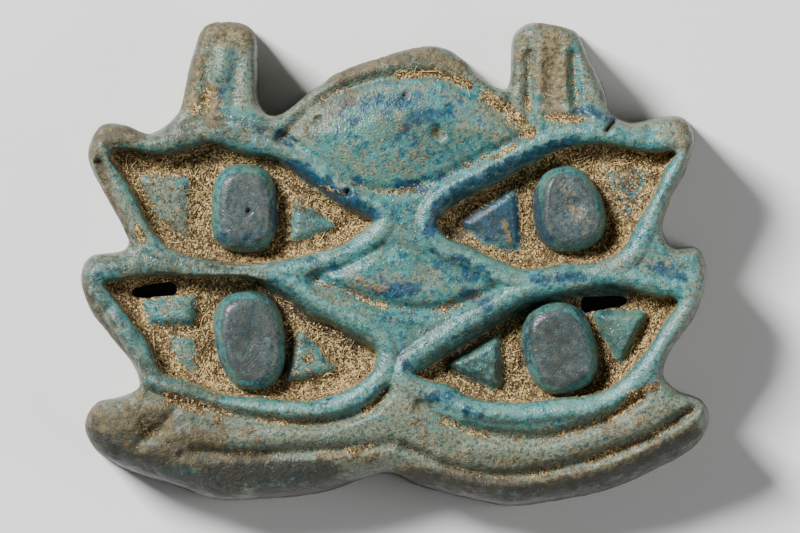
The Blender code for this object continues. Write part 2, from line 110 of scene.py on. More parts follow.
EYES = [
    [
        (-19.2, 7.4), (-17.6, 7.6), (-15.6, 7.4), (-12.4, 8.1), (-9.6, 7.4), (-7.4, 6.9),
        (-5.4, 5.6), (-3.1, 4.0), (-1.3, 2.9), (-3.0, 1.3), (-5.7, 0.4), (-8.6, -0.2),
        (-11.5, -0.2), (-15.2, 0.9), (-16.6, 2.4), (-17.8, 4.9),
    ],
    [
        (-19.7, -1.3), (-18.2, -1.0), (-16.0, -0.7), (-12.9, -0.8), (-9.4, -0.9), (-7.2, -1.9),
        (-5.4, -3.2), (-3.1, -4.3), (-1.2, -5.7), (-1.4, -7.2), (-3.2, -8.6), (-5.8, -9.4),
        (-9.0, -9.2), (-11.7, -8.9), (-13.6, -8.2), (-15.8, -7.3), (-16.5, -5.6),
        (-17.6, -4.2), (-18.8, -2.5),
    ],
    [
        (18.8, 7.4), (17.0, 7.5), (14.2, 8.0), (12.3, 8.0), (10.3, 7.6), (8.4, 6.8),
        (5.7, 5.3), (3.5, 4.1), (2.6, 2.6), (3.4, 1.5), (5.0, 0.9), (6.9, -0.1), (8.7, -0.6),
        (11.2, -0.3), (13.6, -0.1), (15.3, 0.8), (16.1, 2.3), (17.0, 3.8), (18.0, 6.0),
    ],
    [
        (19.0, -2.4), (17.6, -2.1), (15.6, -1.6), (14.0, -1.4), (12.3, -1.8), (10.5, -2.0),
        (8.9, -2.4), (6.6, -3.5), (4.4, -4.9), (2.1, -6.4), (1.0, -7.3), (2.0, -8.0),
        (3.4, -8.3), (5.2, -9.2), (8.4, -9.5), (10.9, -9.2), (13.3, -9.0), (15.0, -8.0),
        (16.5, -6.4), (17.9, -4.4),
    ],
]

# Each pupil: middle, half width, half height, tilt to the left in degrees, how much wider it is
# at the bottom than at the top, and its squaring, below 1 for a squarer one
PUPILS = [
    ((-10.1, 3.6), 2.2, 2.95, 0, 0.02, 0.72),
    ((-9.7, -5.2), 2.35, 3.35, 8, -0.08, 0.80),
    ((11.5, 3.6), 2.35, 2.9, 12, 0.16, 0.84),
    ((10.9, -5.7), 2.45, 3.1, 15, 0.05, 0.80),
]

# Each pad beside a pupil: corners, share of the full rise, and how free of grit its top is
PADS = [
    ([(-17.4, 6.2), (-13.7, 6.2), (-13.6, 1.1), (-15.7, 2.5)], 0.5, 0.72),
    ([(-6.8, 4.4), (-3.6, 2.3), (-7.2, 1.2)], 0.5, 0.84),
    ([(-17.3, -2.6), (-13.0, -2.1), (-13.0, -4.1), (-16.8, -4.2)], 0.7, 0.76),
    ([(-15.3, -4.7), (-13.4, -4.8), (-13.1, -7.6), (-14.4, -7.0)], 0.4, 0.72),
    ([(-6.4, -4.2), (-3.6, -7.3), (-7.7, -8.3)], 0.6, 0.74),
    ([(3.9, 2.7), (8.3, 5.6), (8.7, 0.4), (5.6, 1.1)], 0.45, 1.05),
    ([(13.0, 6.6), (17.6, 6.5), (15.7, 2.0)], 0.3, 0.60),
    ([(3.2, -6.8), (7.0, -4.8), (7.0, -8.6)], 0.9, 1.00),
    ([(13.1, -3.2), (17.0, -3.2), (15.0, -7.0)], 0.9, 0.98),
]

FAN_UPPER_ARC = [(-7.5, 8.3), (-5.2, 10.7), (-1.6, 12.1), (2.4, 12.5), (5.6, 11.1), (8.5, 8.4)]
FAN_LOWER_ARC = [(8.5, 8.4), (6.2, 7.2), (3.0, 5.6), (-0.6, 4.7), (-3.6, 5.5), (-7.5, 8.3)]
ALMOND_UPPER_ARC = [(-5.4, -1.1), (-2.6, 0.3), (-0.1, 1.0), (2.4, 0.2), (6.6, -1.8)]
ALMOND_LOWER_ARC = [(6.6, -1.8), (3.6, -3.0), (0.4, -3.1), (-2.4, -2.3), (-5.4, -1.1)]
LEFT_INNER_BAND = [
    (-16.4, -8.7), (-13.0, -9.6), (-9.0, -10.4), (-5.0, -10.7), (-1.7, -9.7), (-0.6, -8.6),
]
RIGHT_INNER_BAND = [
    (1.6, -9.6), (4.2, -11.0), (7.0, -11.6), (10.0, -11.7), (13.6, -10.6), (16.4, -9.0),
]
LEFT_OUTER_BAND = [(-13.4, -12.6), (-9.7, -12.8), (-6.4, -12.6), (-3.0, -12.4), (-0.2, -12.1)]
RIGHT_OUTER_BAND = [
    (0.6, -12.3), (4.0, -13.8), (8.0, -14.2), (13.4, -13.0), (17.8, -11.2), (19.8, -9.8),
]

# Each pressed groove: its line, its share of the full depth, and how much grit lies in it
GROOVES = [
    (FAN_UPPER_ARC, 0.6, 0.36),
    (FAN_LOWER_ARC, 0.4, 0.26),
    (ALMOND_UPPER_ARC, 0.25, 0.20),
    (ALMOND_LOWER_ARC, 0.6, 0.40),
    (LEFT_INNER_BAND, 0.8, 0.52),
    (RIGHT_INNER_BAND, 0.7, 0.52),
    (LEFT_OUTER_BAND, 0.5, 0.36),
    (RIGHT_OUTER_BAND, 0.9, 0.42),
    ([(-14.6, -9.6), (-15.6, -11.0), (-17.2, -12.2)], 0.45, 0.45),
]

# Where the smoky top and the clean side of a pupil begin outside its ring, and how wide they fade
# in; and where on the eye's wall the grit of the bed begins, lower down on the upper walls
PUPIL_TOP = (0.05, 0.9)
PUPIL_SIDE = (0.12, 0.20)
BED_START = 0.15
BED_FADE = 0.50
UPPER_BARE = 0.45

# Each rib line pressed into a horn: its line, and its share of the full depth
RIB_LINES = [
    ([(-12.5, 13.6), (-12.6, 10.0)], 0.8),
    ([(-10.6, 13.2), (-10.9, 10.4)], 0.4),
    ([(-13.9, 9.3), (-11.4, 9.4)], 0.5),
    ([(8.9, 13.8), (8.8, 10.2)], 1.0),
    ([(10.6, 13.8), (10.4, 10.8)], 0.4),
    ([(11.8, 13.8), (12.1, 9.8)], 1.0),
    ([(10.2, 9.9), (12.6, 9.6)], 1.0),
]

# Each slot: its middle, its slope in degrees, and how much it is swollen to its left
SLOTS = [((-16.1, -1.85), 5, -0.15), ((13.85, -2.7), 6, 0.40)]
HORN_FOOT = 9.6
HORN_INNER_SIDES = (-8.6, 7.4)
LOBE_TOP = -9.4
LOBE_FOOT = -16.0

# Marks left by the mould, by fingers and by knocks, each a line or a spot: its reach, its rise,
# and the places that it runs through
HAND_MARKS = [
    (0.55, -0.75, (-19.75, 6.6), (-18.6, 3.6), (-17.3, 1.3)),
    (0.6, -0.3, (-20.3, -2.6), (-19.4, -4.2), (-18.1, -6.0)), (0.9, -0.35, (-19.3, -3.2)),
    (0.8, -0.25, (-17.0, -5.0)), (0.9, 0.35, (-11.3, 14.2), (-11.6, 12.6)),
    (0.5, -0.15, (-13.0, 14.2), (-12.9, 12.8)), (0.55, 0.2, (9.7, 14.4), (9.6, 11.0)),
    (0.5, 0.2, (11.3, 14.2), (11.3, 11.0)), (0.35, -0.4, (0.6, 11.1)), (0.45, -0.3, (-5.2, 9.5)),
    (0.42, -0.7, (-3.2, 4.7)), (0.75, -0.5, (2.8, 8.6)), (0.3, -0.45, (-9.8, 3.4)),
    (0.6, 0.25, (10.9, 6.5), (10.3, 5.2), (10.1, 3.0), (10.3, 1.9)), (1.2, -0.25, (11.9, 3.8)),
    (0.8, 0.35, (-7.3, -4.2)), (1.6, -0.15, (-9.9, -5.2)), (1.4, -0.55, (-16.4, -11.2)),
    (1.3, 0.25, (-18.6, -11.0)), (1.0, 0.25, (-14.2, -11.6), (-10.5, -11.9), (-4.0, -11.6)),
    (0.45, -0.35, (-14.3, -12.9)), (0.35, -0.55, (14.1, 8.8), (14.5, 9.3)),
    (0.9, 0.2, (4.6, -9.9), (9.0, -10.5), (13.0, -9.9)),
    (1.0, 0.22, (5.0, -12.6), (10.0, -12.9), (16.0, -11.0)), (0.8, -0.2, (-17.4, 8.9)),
    (0.9, -0.15, (17.0, 8.7)), (0.9, 0.1, (-2.2, -0.2), (1.0, 0.2)), (0.7, 0.25, (2.9, -13.0)),
]


def curve(points, closed=True, cuts=16):
    """A smooth curve through the points. On each stretch the four nearest points are blended in
    pairs three times over, at knots spaced by the square root of their distances, and the curve
    is then cut into even steps. A closed curve ends on its first point again."""
    p = np.asarray(points, float)
    p = np.vstack([p[-1:], p, p[:2]] if closed else [2 * p[0] - p[1], p, 2 * p[-1] - p[-2]])
    gap = np.sqrt(np.linalg.norm(np.diff(p, axis=0), axis=1))
    knot = np.concatenate([[0.0], np.cumsum(gap)])
    row = np.arange(len(p) - 3)
    at = knot[row + 1, None] + gap[row + 1, None] * np.linspace(0.0, 1.0, cuts, endpoint=False)
    level = [p[row + k][:, None] for k in range(4)]
    for spans in (((0, 1), (1, 2), (2, 3)), ((0, 2), (1, 3)), ((1, 2),)):
        blended = []
        for k, (first, last) in enumerate(spans):
            start = knot[row + first, None]
            share = ((at - start) / (knot[row + last, None] - start))[..., None]
            blended.append(level[k] + (level[k + 1] - level[k]) * share)
        level = blended
    whole = np.vstack([level[0].reshape(-1, 2), p[-2:-1] if not closed else p[1:2]])
    return even(whole, LINE_STEP)


def even(line, step):
    """The same line with its points a step apart."""
    along = np.concatenate([[0.0], np.cumsum(np.linalg.norm(np.diff(line, axis=0), axis=1))])
    at = np.linspace(0.0, along[-1], max(2, round(along[-1] / step)) + 1)
    return np.stack([np.interp(at, along, line[:, i]) for i in (0, 1)], axis=1)


def lens(upper, lower):
    """A pointed closed loop made of an upper and a lower arc."""
    return np.vstack([curve(upper, closed=False), curve(lower, closed=False)[1:]])


def tilted(x, y, degrees):
    """Places turned to the left about the origin by an angle."""
    lean = math.radians(degrees)
    across = x * math.cos(lean) - y * math.sin(lean)
    upwards = x * math.sin(lean) + y * math.cos(lean)
    return np.stack([across, upwards], axis=1)


def squared_egg(middle, half_width, half_height, tilt, egg, squaring, corners=97):
    """A tilted egg: the cosine and the sine of the turn, each raised to the squaring power, set
    out by the half width and the half height and narrowed towards one end."""
    turn = np.linspace(0.0, 2 * math.pi, corners)
    x = np.sign(np.cos(turn)) * np.abs(np.cos(turn)) ** squaring
    y = np.sign(np.sin(turn)) * np.abs(np.sin(turn)) ** squaring
    x = half_width * x * (1 - egg * y)
    return even(middle + tilted(x, half_height * y, tilt), LINE_STEP)


def slot_ring(middle, slope, swell, corners=15):
    """A slot with round ends: half a circle round each end of its middle line, and its width
    swollen to the left by a share that grows evenly along it."""
    half = np.linspace(-0.5, 0.5, corners)
    turn = np.concatenate([half, half + 1.0]) * math.pi
    end = np.repeat([1.0, -1.0], corners)
    x = end * (SLOT_LENGTH - SLOT_WIDTH) / 2 + SLOT_WIDTH / 2 * np.cos(turn)
    y = SLOT_WIDTH / 2 * np.sin(turn) * (1 - swell * 2 * x / SLOT_LENGTH)
    ring = tilted(x, y, slope)
    return even(np.vstack([middle + ring, middle + ring[:1]]), SLOT_STEP)


def way_to(xy, line, reach, at_once=12):
    """The shortest way from each place to a line of short straight pieces: its length, and the
    step itself. Places further off than the reach are given the reach and no step. The line is
    taken some pieces at a time, each time with only the places that are near those."""
    best = np.full(len(xy), float(reach) ** 2)
    step = np.zeros((len(xy), 2))
    if len(line) == 1:
        line = np.vstack([line, line])
    for first in range(0, len(line) - 1, at_once):
        part = line[first : first + at_once + 1]
        near = np.flatnonzero(((xy > part.min(0) - reach) & (xy < part.max(0) + reach)).all(1))
        here = xy[near]
        least = best[near]
        gap = step[near]
        for start, run in zip(part[:-1], np.diff(part, axis=0)):
            offset = here - start
            share = np.clip(offset @ run / max(run @ run, 1e-12), 0.0, 1.0)
            way = share[:, None] * run - offset
            square = (way**2).sum(1)
            closer = square < least
            least[closer] = square[closer]
            gap[closer] = way[closer]
        best[near] = least
        step[near] = gap
    return np.sqrt(best), step


def within(xy, starts, ends):
    """Whether each place lies inside the loops that the straight pieces make: a level line from
    it to the right then crosses them an odd number of times."""
    order = np.argsort(xy[:, 1])
    x, y = xy[order].T
    odd = np.zeros(len(x), bool)
    for (x0, y0), (x1, y1) in zip(starts, ends):
        i, j = np.searchsorted(y, sorted((y0, y1)))
        if j > i:
            odd[i:j] ^= x[i:j] < x0 + (y[i:j] - y0) / (y1 - y0) * (x1 - x0)
    inside = np.zeros(len(x), bool)
    inside[order] = odd
    return inside


def depth(xy, ring, reach=1.5):
    """How far inside a closed ring each place lies, negative outside it, up to the reach."""
    away, step = way_to(xy, ring, reach)
    return np.where(within(xy, ring[:-1], ring[1:]), away, -away), step


def ease(share):
    """0 below 0, 1 above 1, and a smooth rise between."""
    share = np.clip(share, 0.0, 1.0)
    return share * share * (3 - 2 * share)


def dome(share):
    """A quarter circle's rise: steep at 0, level at 1."""
    return np.sqrt(1.0 - (1.0 - np.clip(share, 0.0, 1.0)) ** 2)


def cloud(places, size, seed, primes=(73856093, 19349663, 83492791)):
    """Smooth noise from -1 to 1. Each corner of a lattice of the given size holds a hashed
    number, and the numbers round a place are eased into each other."""
    cell = np.floor(places / size).astype(np.int64)
    part = ease(places / size - cell)
    total = np.zeros(len(places))
    for corner in np.ndindex(*(2,) * places.shape[1]):
        mixed = ((cell + corner) * primes[: places.shape[1]]).sum(1)
        mixed = (mixed + seed * 2654435761) & 0xFFFFFFFF
        mixed = ((mixed ^ (mixed >> 15)) * 2246822519) & 0xFFFFFFFF
        mixed = ((mixed ^ (mixed >> 13)) * 3266489917) & 0xFFFFFFFF
        value = ((mixed >> 8) & 0xFFFF) / 32767.5 - 1.0
        total += value * np.where(corner, part, 1.0 - part).prod(1)
    return total


def stroke(xy, line, reach):
    """A soft-edged stroke: 1 along its line, and 0 from its reach away."""
    return ease(1.0 - way_to(xy, line, reach)[0] / reach)


def marks(xy, strokes):
    """The strongest of some strokes at each place, each given as its reach, its strength and the
    places that its line runs through."""
    strongest = np.zeros(len(xy))
    for reach, strength, *line in strokes:
        strongest = np.maximum(strongest, strength * stroke(xy, np.array(line), reach))
    return strongest


drawn_outline = curve(OUTLINE)
solid_width = float(np.ptp([corner[0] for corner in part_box("quadruple_eye_amulet")]))
UNIT = solid_width / np.ptp(drawn_outline[:, 0])
MIDDLE = (drawn_outline.min(0) + drawn_outline.max(0)) / 2
eye_rings = [curve(eye) for eye in EYES]
pupil_rings = [squared_egg(*pupil) for pupil in PUPILS]
pad_rings = []
for corners, _, _ in PADS:
    corners = np.array(corners + corners[:1], float)
    middle = corners[:-1].mean(0)
    pad_rings.append(even(middle + (corners - middle) * PAD_SHRINK, LINE_STEP))
fan_ring = lens(FAN_UPPER_ARC, FAN_LOWER_ARC)
almond_ring = lens(ALMOND_UPPER_ARC, ALMOND_LOWER_ARC)
slot_rings = [slot_ring(*slot) for slot in SLOTS]


def edge_turn(xy):
    """The rounding of the face's edge, which grows from the sides to the lobes."""
    return EDGE_ROUND + (LOBE_ROUND - EDGE_ROUND) * ease((LOBE_TOP - xy[:, 1]) / LOBE_ROUND)


def relief(xy):
    """The height of the face at each place, and the forms that lie there. The level of the face,
    less its grooves, is rounded down at the outline; the eyes are sunk into it to their bed, and
    the pads and pupils rise from the bed. The forms are given as shares from 0 to 1."""
    x, y = xy.T
    beside = np.maximum(HORN_INNER_SIDES[0] - x, x - HORN_INNER_SIDES[1])
    on_horn = ease(y - HORN_FOOT) * ease(beside + HORN_SHOULDER)
    on_lobe = ease((LOBE_TOP - y) / (LOBE_TOP - LOBE_FOOT))
    level = THICKNESS - RIM_RISE - HORN_DROP * on_horn - LOBE_DROP * on_lobe
    level += FAN_RISE * ease(depth(xy, fan_ring, FAN_SLOPE)[0] / FAN_SLOPE)
    level += ALMOND_RISE * ease(depth(xy, almond_ring, ALMOND_SLOPE)[0] / ALMOND_SLOPE)
    pressed = np.zeros(len(xy))
    for line, share, grit in GROOVES:
        hollow = stroke(xy, curve(line, closed=False), GROOVE_REACH)
        level -= GROOVE_DEPTH * share * hollow
        pressed = np.maximum(pressed, grit * hollow)
    for line, share in RIB_LINES:
        hollow = stroke(xy, curve(line, closed=False), RIB_REACH)
        level -= RIB_DEPTH * share * hollow
        pressed = np.maximum(pressed, RIB_GRIT * share * hollow)
    dents = [rise * stroke(xy, np.array(line), reach) for reach, rise, *line in HAND_MARKS]
    for dent in dents:
        level += dent

    sunk, crest, bed_depth, upper_side = np.zeros((4, len(xy)))
    for ring in eye_rings:
        inside, way = depth(xy, ring, FOLLOWED)
        crest = np.maximum(crest, 1.0 - (-2.0 * inside / RIM_WIDTH - 1.0) ** 2)
        aslant, under = way.T / np.maximum(np.abs(inside), 1e-9)
        under = ease(under) * ease(UPPER_SLANT * np.abs(aslant))
        sunk = np.maximum(sunk, ease(inside / (EYE_WALL + UPPER_WALL * under)))
        upper_side = np.maximum(upper_side, under * (inside > 0.0))
        bed_depth = np.maximum(bed_depth, inside)
    level += RIM_RISE * crest

    inward = depth(xy, drawn_outline, FOLLOWED)[0]
    turn = edge_turn(xy)
    surface = level - turn * (1.0 - dome((inward - WALL_LEAN) / turn))

    grit_fillet = GRIT_FILLET * (1.0 - ease((bed_depth - EYE_WALL) / FILLET_WIDTH))
    bed = THICKNESS - EYE_DEPTH + grit_fillet
    surface += (bed - surface) * sunk
    raised, clean, on_pupil, pupil_side = np.zeros((4, len(xy)))
    for ring, (_, share, free) in zip(pad_rings, PADS):
        inside = depth(xy, ring)[0]
        slope = PAD_SLOPES[0] + (PAD_SLOPES[1] - PAD_SLOPES[0]) * share
        raised = np.maximum(raised, PAD_RISE * share * ease((inside + PAD_SWELL) / slope))
        top = ease((inside + PAD_SWELL) * math.sqrt(share) / PAD_EDGE)
        clean = np.maximum(clean, free * top)
    for ring in pupil_rings:
        inside = depth(xy, ring)[0]
        raised = np.maximum(raised, PUPIL_RISE * dome(inside / PUPIL_SHOULDER))
        on_pupil = np.maximum(on_pupil, ease((inside + PUPIL_TOP[0]) / PUPIL_TOP[1]))
        pupil_side = np.maximum(pupil_side, ease((inside + PUPIL_SIDE[0]) / PUPIL_SIDE[1]))
    surface += raised
    for dent in dents:
        surface += dent * on_pupil
    forms = {
        "crest": np.clip(crest, 0.0, 1.0) * (1.0 - sunk),
        "pressed": pressed * (1.0 - sunk),
        "bed": ease((sunk - BED_START - UPPER_BARE * upper_side) / BED_FADE),
        "clean": clean,
        "pupil": on_pupil,
        "side": pupil_side,
        "inward": inward,
    }
    return surface, forms


# The face is cut into a fine grid of squares, whose corners are drawn onto the outline and onto
# the edges of the eyes, pupils and slots, so that each edge runs clean.
GRID_STEP = 0.12
ONTO_LINE = 0.45 * GRID_STEP
LEAST_AREA = 0.02 * GRID_STEP**2
LEAST_WAY = 0.15


def settle(place, ring, start, turn=None):
    """The grid's places moved near a ring. Those within about half a step of the line that runs
    the start's distance inside it go onto that line. Those in the rounding behind it crowd
    towards it, as one less the cosine of their share does, where the surface is steep, but keep
    some of their way from it."""
    inside, step = depth(place, ring, FOLLOWED)
    onto = np.abs(inside - start) < ONTO_LINE
    target = np.where(onto, start, inside)
    if turn is not None:
        share = (inside - start) / turn
        rounding = ~onto & (share > 0.0) & (share < 1.0)
        crowded = start + turn * (1.0 - np.cos(math.pi / 2 * share))
        crowded = np.maximum(crowded, start + LEAST_WAY * (inside - start))
        target = np.where(rounding, crowded, target)
    outward = step / np.where(np.abs(inside) < 1e-9, 1.0, inside)[:, None]
    moved = place + outward * (inside - target)[:, None]
    return moved, inside, onto


low = drawn_outline.min(0) - GRID_STEP
columns, rows = (np.ceil(np.ptp(drawn_outline, axis=0) / GRID_STEP) + 3).astype(int)
column, row = np.meshgrid(np.arange(columns), np.arange(rows))
place = low + GRID_STEP * np.stack([column.ravel(), row.ravel()], axis=1)
place, inside, rim = settle(place, drawn_outline, WALL_LEAN, edge_turn(place))
kept = (inside > WALL_LEAN) | rim
for ring in slot_rings:
    place, inside, on_slot = settle(place, ring, 0.0)
    kept &= (inside < 0.0) | on_slot
    rim |= on_slot
for ring in eye_rings:
    for start in (0.0, EYE_WALL):
        place = settle(place, ring, start)[0]
for ring in pupil_rings:
    place = settle(place, ring, 0.0, PUPIL_SHOULDER)[0]
height, _ = relief(place)


def area(a, b, c):
    """Twice the signed area of the flat triangles between three sets of places."""
    one, two = place[b] - place[a], place[c] - place[a]
    return one[:, 0] * two[:, 1] - one[:, 1] * two[:, 0]


number = np.arange(len(place)).reshape(rows, columns)
square = np.stack([number[:-1, :-1], number[:-1, 1:], number[1:, 1:], number[1:, :-1]], axis=-1)
square = square.reshape(-1, 4)
square = square[(kept & ~rim)[square].any(1)]
count = kept[square].sum(1)
three = square[count == 3]
gone = kept[three].argmin(1)
three = np.take_along_axis(three, (gone[:, None] + [1, 2, 3]) % 4, axis=1)
a, b, c, d = square[count == 4].T
sound_ac = np.minimum(area(a, b, c), area(a, c, d)) > LEAST_AREA
sound_bd = np.minimum(area(a, b, d), area(b, c, d)) > LEAST_AREA
flatter = np.abs(height[a] - height[c]) < np.abs(height[b] - height[d])
across = np.where(sound_ac & sound_bd, flatter, sound_ac)[:, None]
one_half = np.where(across, np.stack([a, b, c], 1), np.stack([a, b, d], 1))
other_half = np.where(across, np.stack([a, c, d], 1), np.stack([b, c, d], 1))
face = np.vstack([three, one_half, other_half])
used, face = np.unique(face, return_inverse=True)
face = face.reshape(-1, 3)
front = np.column_stack([place[used], height[used]])

# The side falls from the face's edge to the back. Each row of it is the face's edge again, moved
# outwards down the lean of the wall and then in round the back's own small turn.
WALL_ROWS = 9
TURN_ROWS = 3
ON_RING = 0.01
edges = np.vstack([face[:, [0, 1]], face[:, [1, 2]], face[:, [2, 0]]])
key = edges[:, 0] * len(front) + edges[:, 1]
back_key = edges[:, 1] * len(front) + edges[:, 0]
border = edges[~np.isin(key, back_key)]
rim_number, border = np.unique(border, return_inverse=True)
border = border.reshape(-1, 2)
top = front[rim_number]
inside, step = depth(top[:, :2], drawn_outline)
outward = step / inside[:, None]
in_slot = np.zeros(len(top), bool)
for ring in slot_rings:
    in_slot |= np.abs(depth(top[:, :2], ring)[0]) < ON_RING
outward[in_slot] = 0.0
down = np.linspace(0.0, 1.0, WALL_ROWS + 1)[1:, None]
swing = np.linspace(0.0, math.pi / 2, TURN_ROWS + 1)[1:, None]
reach = np.vstack([WALL_LEAN * down, WALL_LEAN - BACK_ROUND * (1.0 - np.cos(swing))])
wall_heights = top[:, 2] + (BACK_ROUND - top[:, 2]) * down
turn_heights = np.repeat(BACK_ROUND * (1.0 - np.sin(swing)), len(top), axis=1)
fall = np.vstack([wall_heights, turn_heights])
side = top[None, :, :2] + outward[None] * reach[:, :, None]
side = np.concatenate([side, fall[..., None]], axis=2)
first = len(front) + len(top) * np.arange(len(side))[:, None]
ring_number = np.vstack([rim_number, first + np.arange(len(top))])
one, two = border.T
upper, lower = ring_number[:-1], ring_number[1:]
bands = np.stack([upper[:, two], upper[:, one], lower[:, one], lower[:, two]], axis=-1)
bands = bands.reshape(-1, 4)

# The flat back, which closes the body between the last row of the side and the slots' mouths. It
# is laid over them and some evenly spread inner places, and a hair hollow inside its rim.
BACK_STEP = 1.1
OUTLINE_CLEAR = 1.2
SLOT_CLEAR = 0.6
BACK_FOOT = 1.0
BACK_HOLLOW = 0.03
lip = side[-1, :, :2]
columns, rows = (np.ceil(np.ptp(drawn_outline, axis=0) / BACK_STEP)).astype(int)
column, row = np.meshgrid(np.arange(columns), np.arange(rows))
fill = low + BACK_STEP * np.stack([column.ravel() + 0.5 * (row.ravel() % 2), row.ravel()], axis=1)
clear = depth(fill, drawn_outline)[0] > OUTLINE_CLEAR
for ring in slot_rings:
    clear &= depth(fill, ring)[0] < -SLOT_CLEAR
fill = fill[clear]
flat = np.vstack([lip, fill])
found = delaunay_2d_cdt([Vector(p) for p in flat.tolist()], border.tolist(), [], 0, 1e-9)
assert len(found[0]) == len(flat), "the back's border crosses itself"
back_face = np.array([[found[3][i][0] for i in corners] for corners in found[2]])
middle = flat[back_face].mean(1)
sound = within(middle, lip[border[:, 0]], lip[border[:, 1]])
back_face = back_face[sound][:, ::-1]
back_start = len(front) + side.size // 3
back_number = np.concatenate([ring_number[-1], back_start + np.arange(len(fill))])
back_face = back_number[back_face]
body = np.vstack([front, side.reshape(-1, 3), np.column_stack([fill, np.zeros(len(fill))])])
triangles = np.vstack([face, bands[:, [0, 1, 2]], bands[:, [0, 2, 3]], back_face])

# The mould and the hand leave the surface a little uneven, the glaze pools and pits, the bare
# paste is sandy and the grit lies loose. Where each finish lies is given in marks, each with its
# reach, its strength and the places that it runs through. Some of the dark marks are painted
# shadow, and some of the pale marks are painted highlight, as noted at each list.
WORN_MARKS = [
    (2.1, 0.95, (-12.6, 15.6), (-10.0, 15.4)), (1.2, 0.85, (-13.9, 10.4), (-13.2, 13.4)),
    (1.3, 0.8, (-12.4, 11.4), (-12.2, 9.6)), (1.5, 0.85, (-19.8, 8.6), (-17.2, 8.7)),
    (1.0, 0.7, (-20.2, 7.4), (-19.0, 4.4), (-17.9, 1.8)),
    (1.1, 0.85, (-4.2, 12.4), (-1.0, 13.6), (2.2, 14.0), (4.4, 13.0)), (1.0, 0.55, (-6.0, 9.1)),
    (1.3, 0.6, (-3.1, 10.8)), (1.1, 0.44, (0.2, 9.0)), (1.0, 0.38, (-0.8, 7.3), (2.2, 6.9)),
    (2.3, 0.85, (10.4, 15.4), (10.2, 12.4)), (1.3, 0.75, (11.0, 13.4), (10.6, 10.4)),
    (0.8, 0.6, (8.4, 15.0), (8.3, 12.6)), (1.4, 0.62, (19.0, 9.0), (19.3, 8.0)),
    (1.0, 0.75, (-20.9, -1.8), (-19.8, -3.9), (-18.2, -6.2)),
    (2.6, 0.92, (-20.0, -10.6), (-16.0, -10.6)), (1.8, 0.85, (-15.6, -12.0), (-12.0, -11.8)),
    (1.5, 0.8, (-18.6, -12.4), (-13.0, -13.2), (-9.0, -13.0)),
    (1.2, 0.55, (-12.0, -10.6), (-9.6, -11.4)), (1.1, 0.7, (-17.8, -7.8), (-17.0, -8.8)),
    (1.6, 0.45, (1.2, -10.0), (2.4, -12.4)),
    (1.3, 0.45, (3.6, -12.9), (9.0, -13.4), (14.4, -12.2)),
    (1.4, 0.5, (14.0, -11.2), (18.0, -10.0)),
    (1.4, 0.85, (0.5, -14.0), (8.0, -15.0), (14.0, -14.2), (19.6, -11.4)),
    (0.9, 0.55, (-2.4, -1.2), (-1.0, -1.7)), (0.9, 0.6, (-5.0, -12.9), (-1.0, -13.0)),
    (0.5, 0.5, (3.6, -2.6), (5.8, -2.2)), (0.35, 0.9, (14.1, 8.8), (14.5, 9.3)),
    (0.4, 0.9, (0.6, 11.1)), (0.7, 0.85, (2.8, 8.6)), (0.4, 0.8, (-3.2, 4.7)),
    (1.5, 0.46, (11.4, 4.6), (12.4, 2.2)), (0.5, 0.75, (7.3, 2.7), (7.6, 1.5)),
]
SOOT_MARKS = [
    (1.6, 0.95, (-20.6, -11.6), (-18.0, -13.2), (-14.6, -14.4), (-11.0, -15.2)),
    (1.8, 1.0, (-12.6, -14.2), (-8.0, -14.0), (-4.6, -14.0)),
    (1.4, 0.8, (-9.0, -15.4), (-3.0, -14.8)),
    (1.1, 0.75, (1.0, -14.8), (8.0, -15.8), (14.0, -15.0), (19.0, -12.6)),
    (1.5, 0.6, (5.0, -14.9)),
    (1.3, 0.76, (1.0, -14.2), (9.0, -15.2), (15.0, -14.2), (20.0, -11.4)),
]
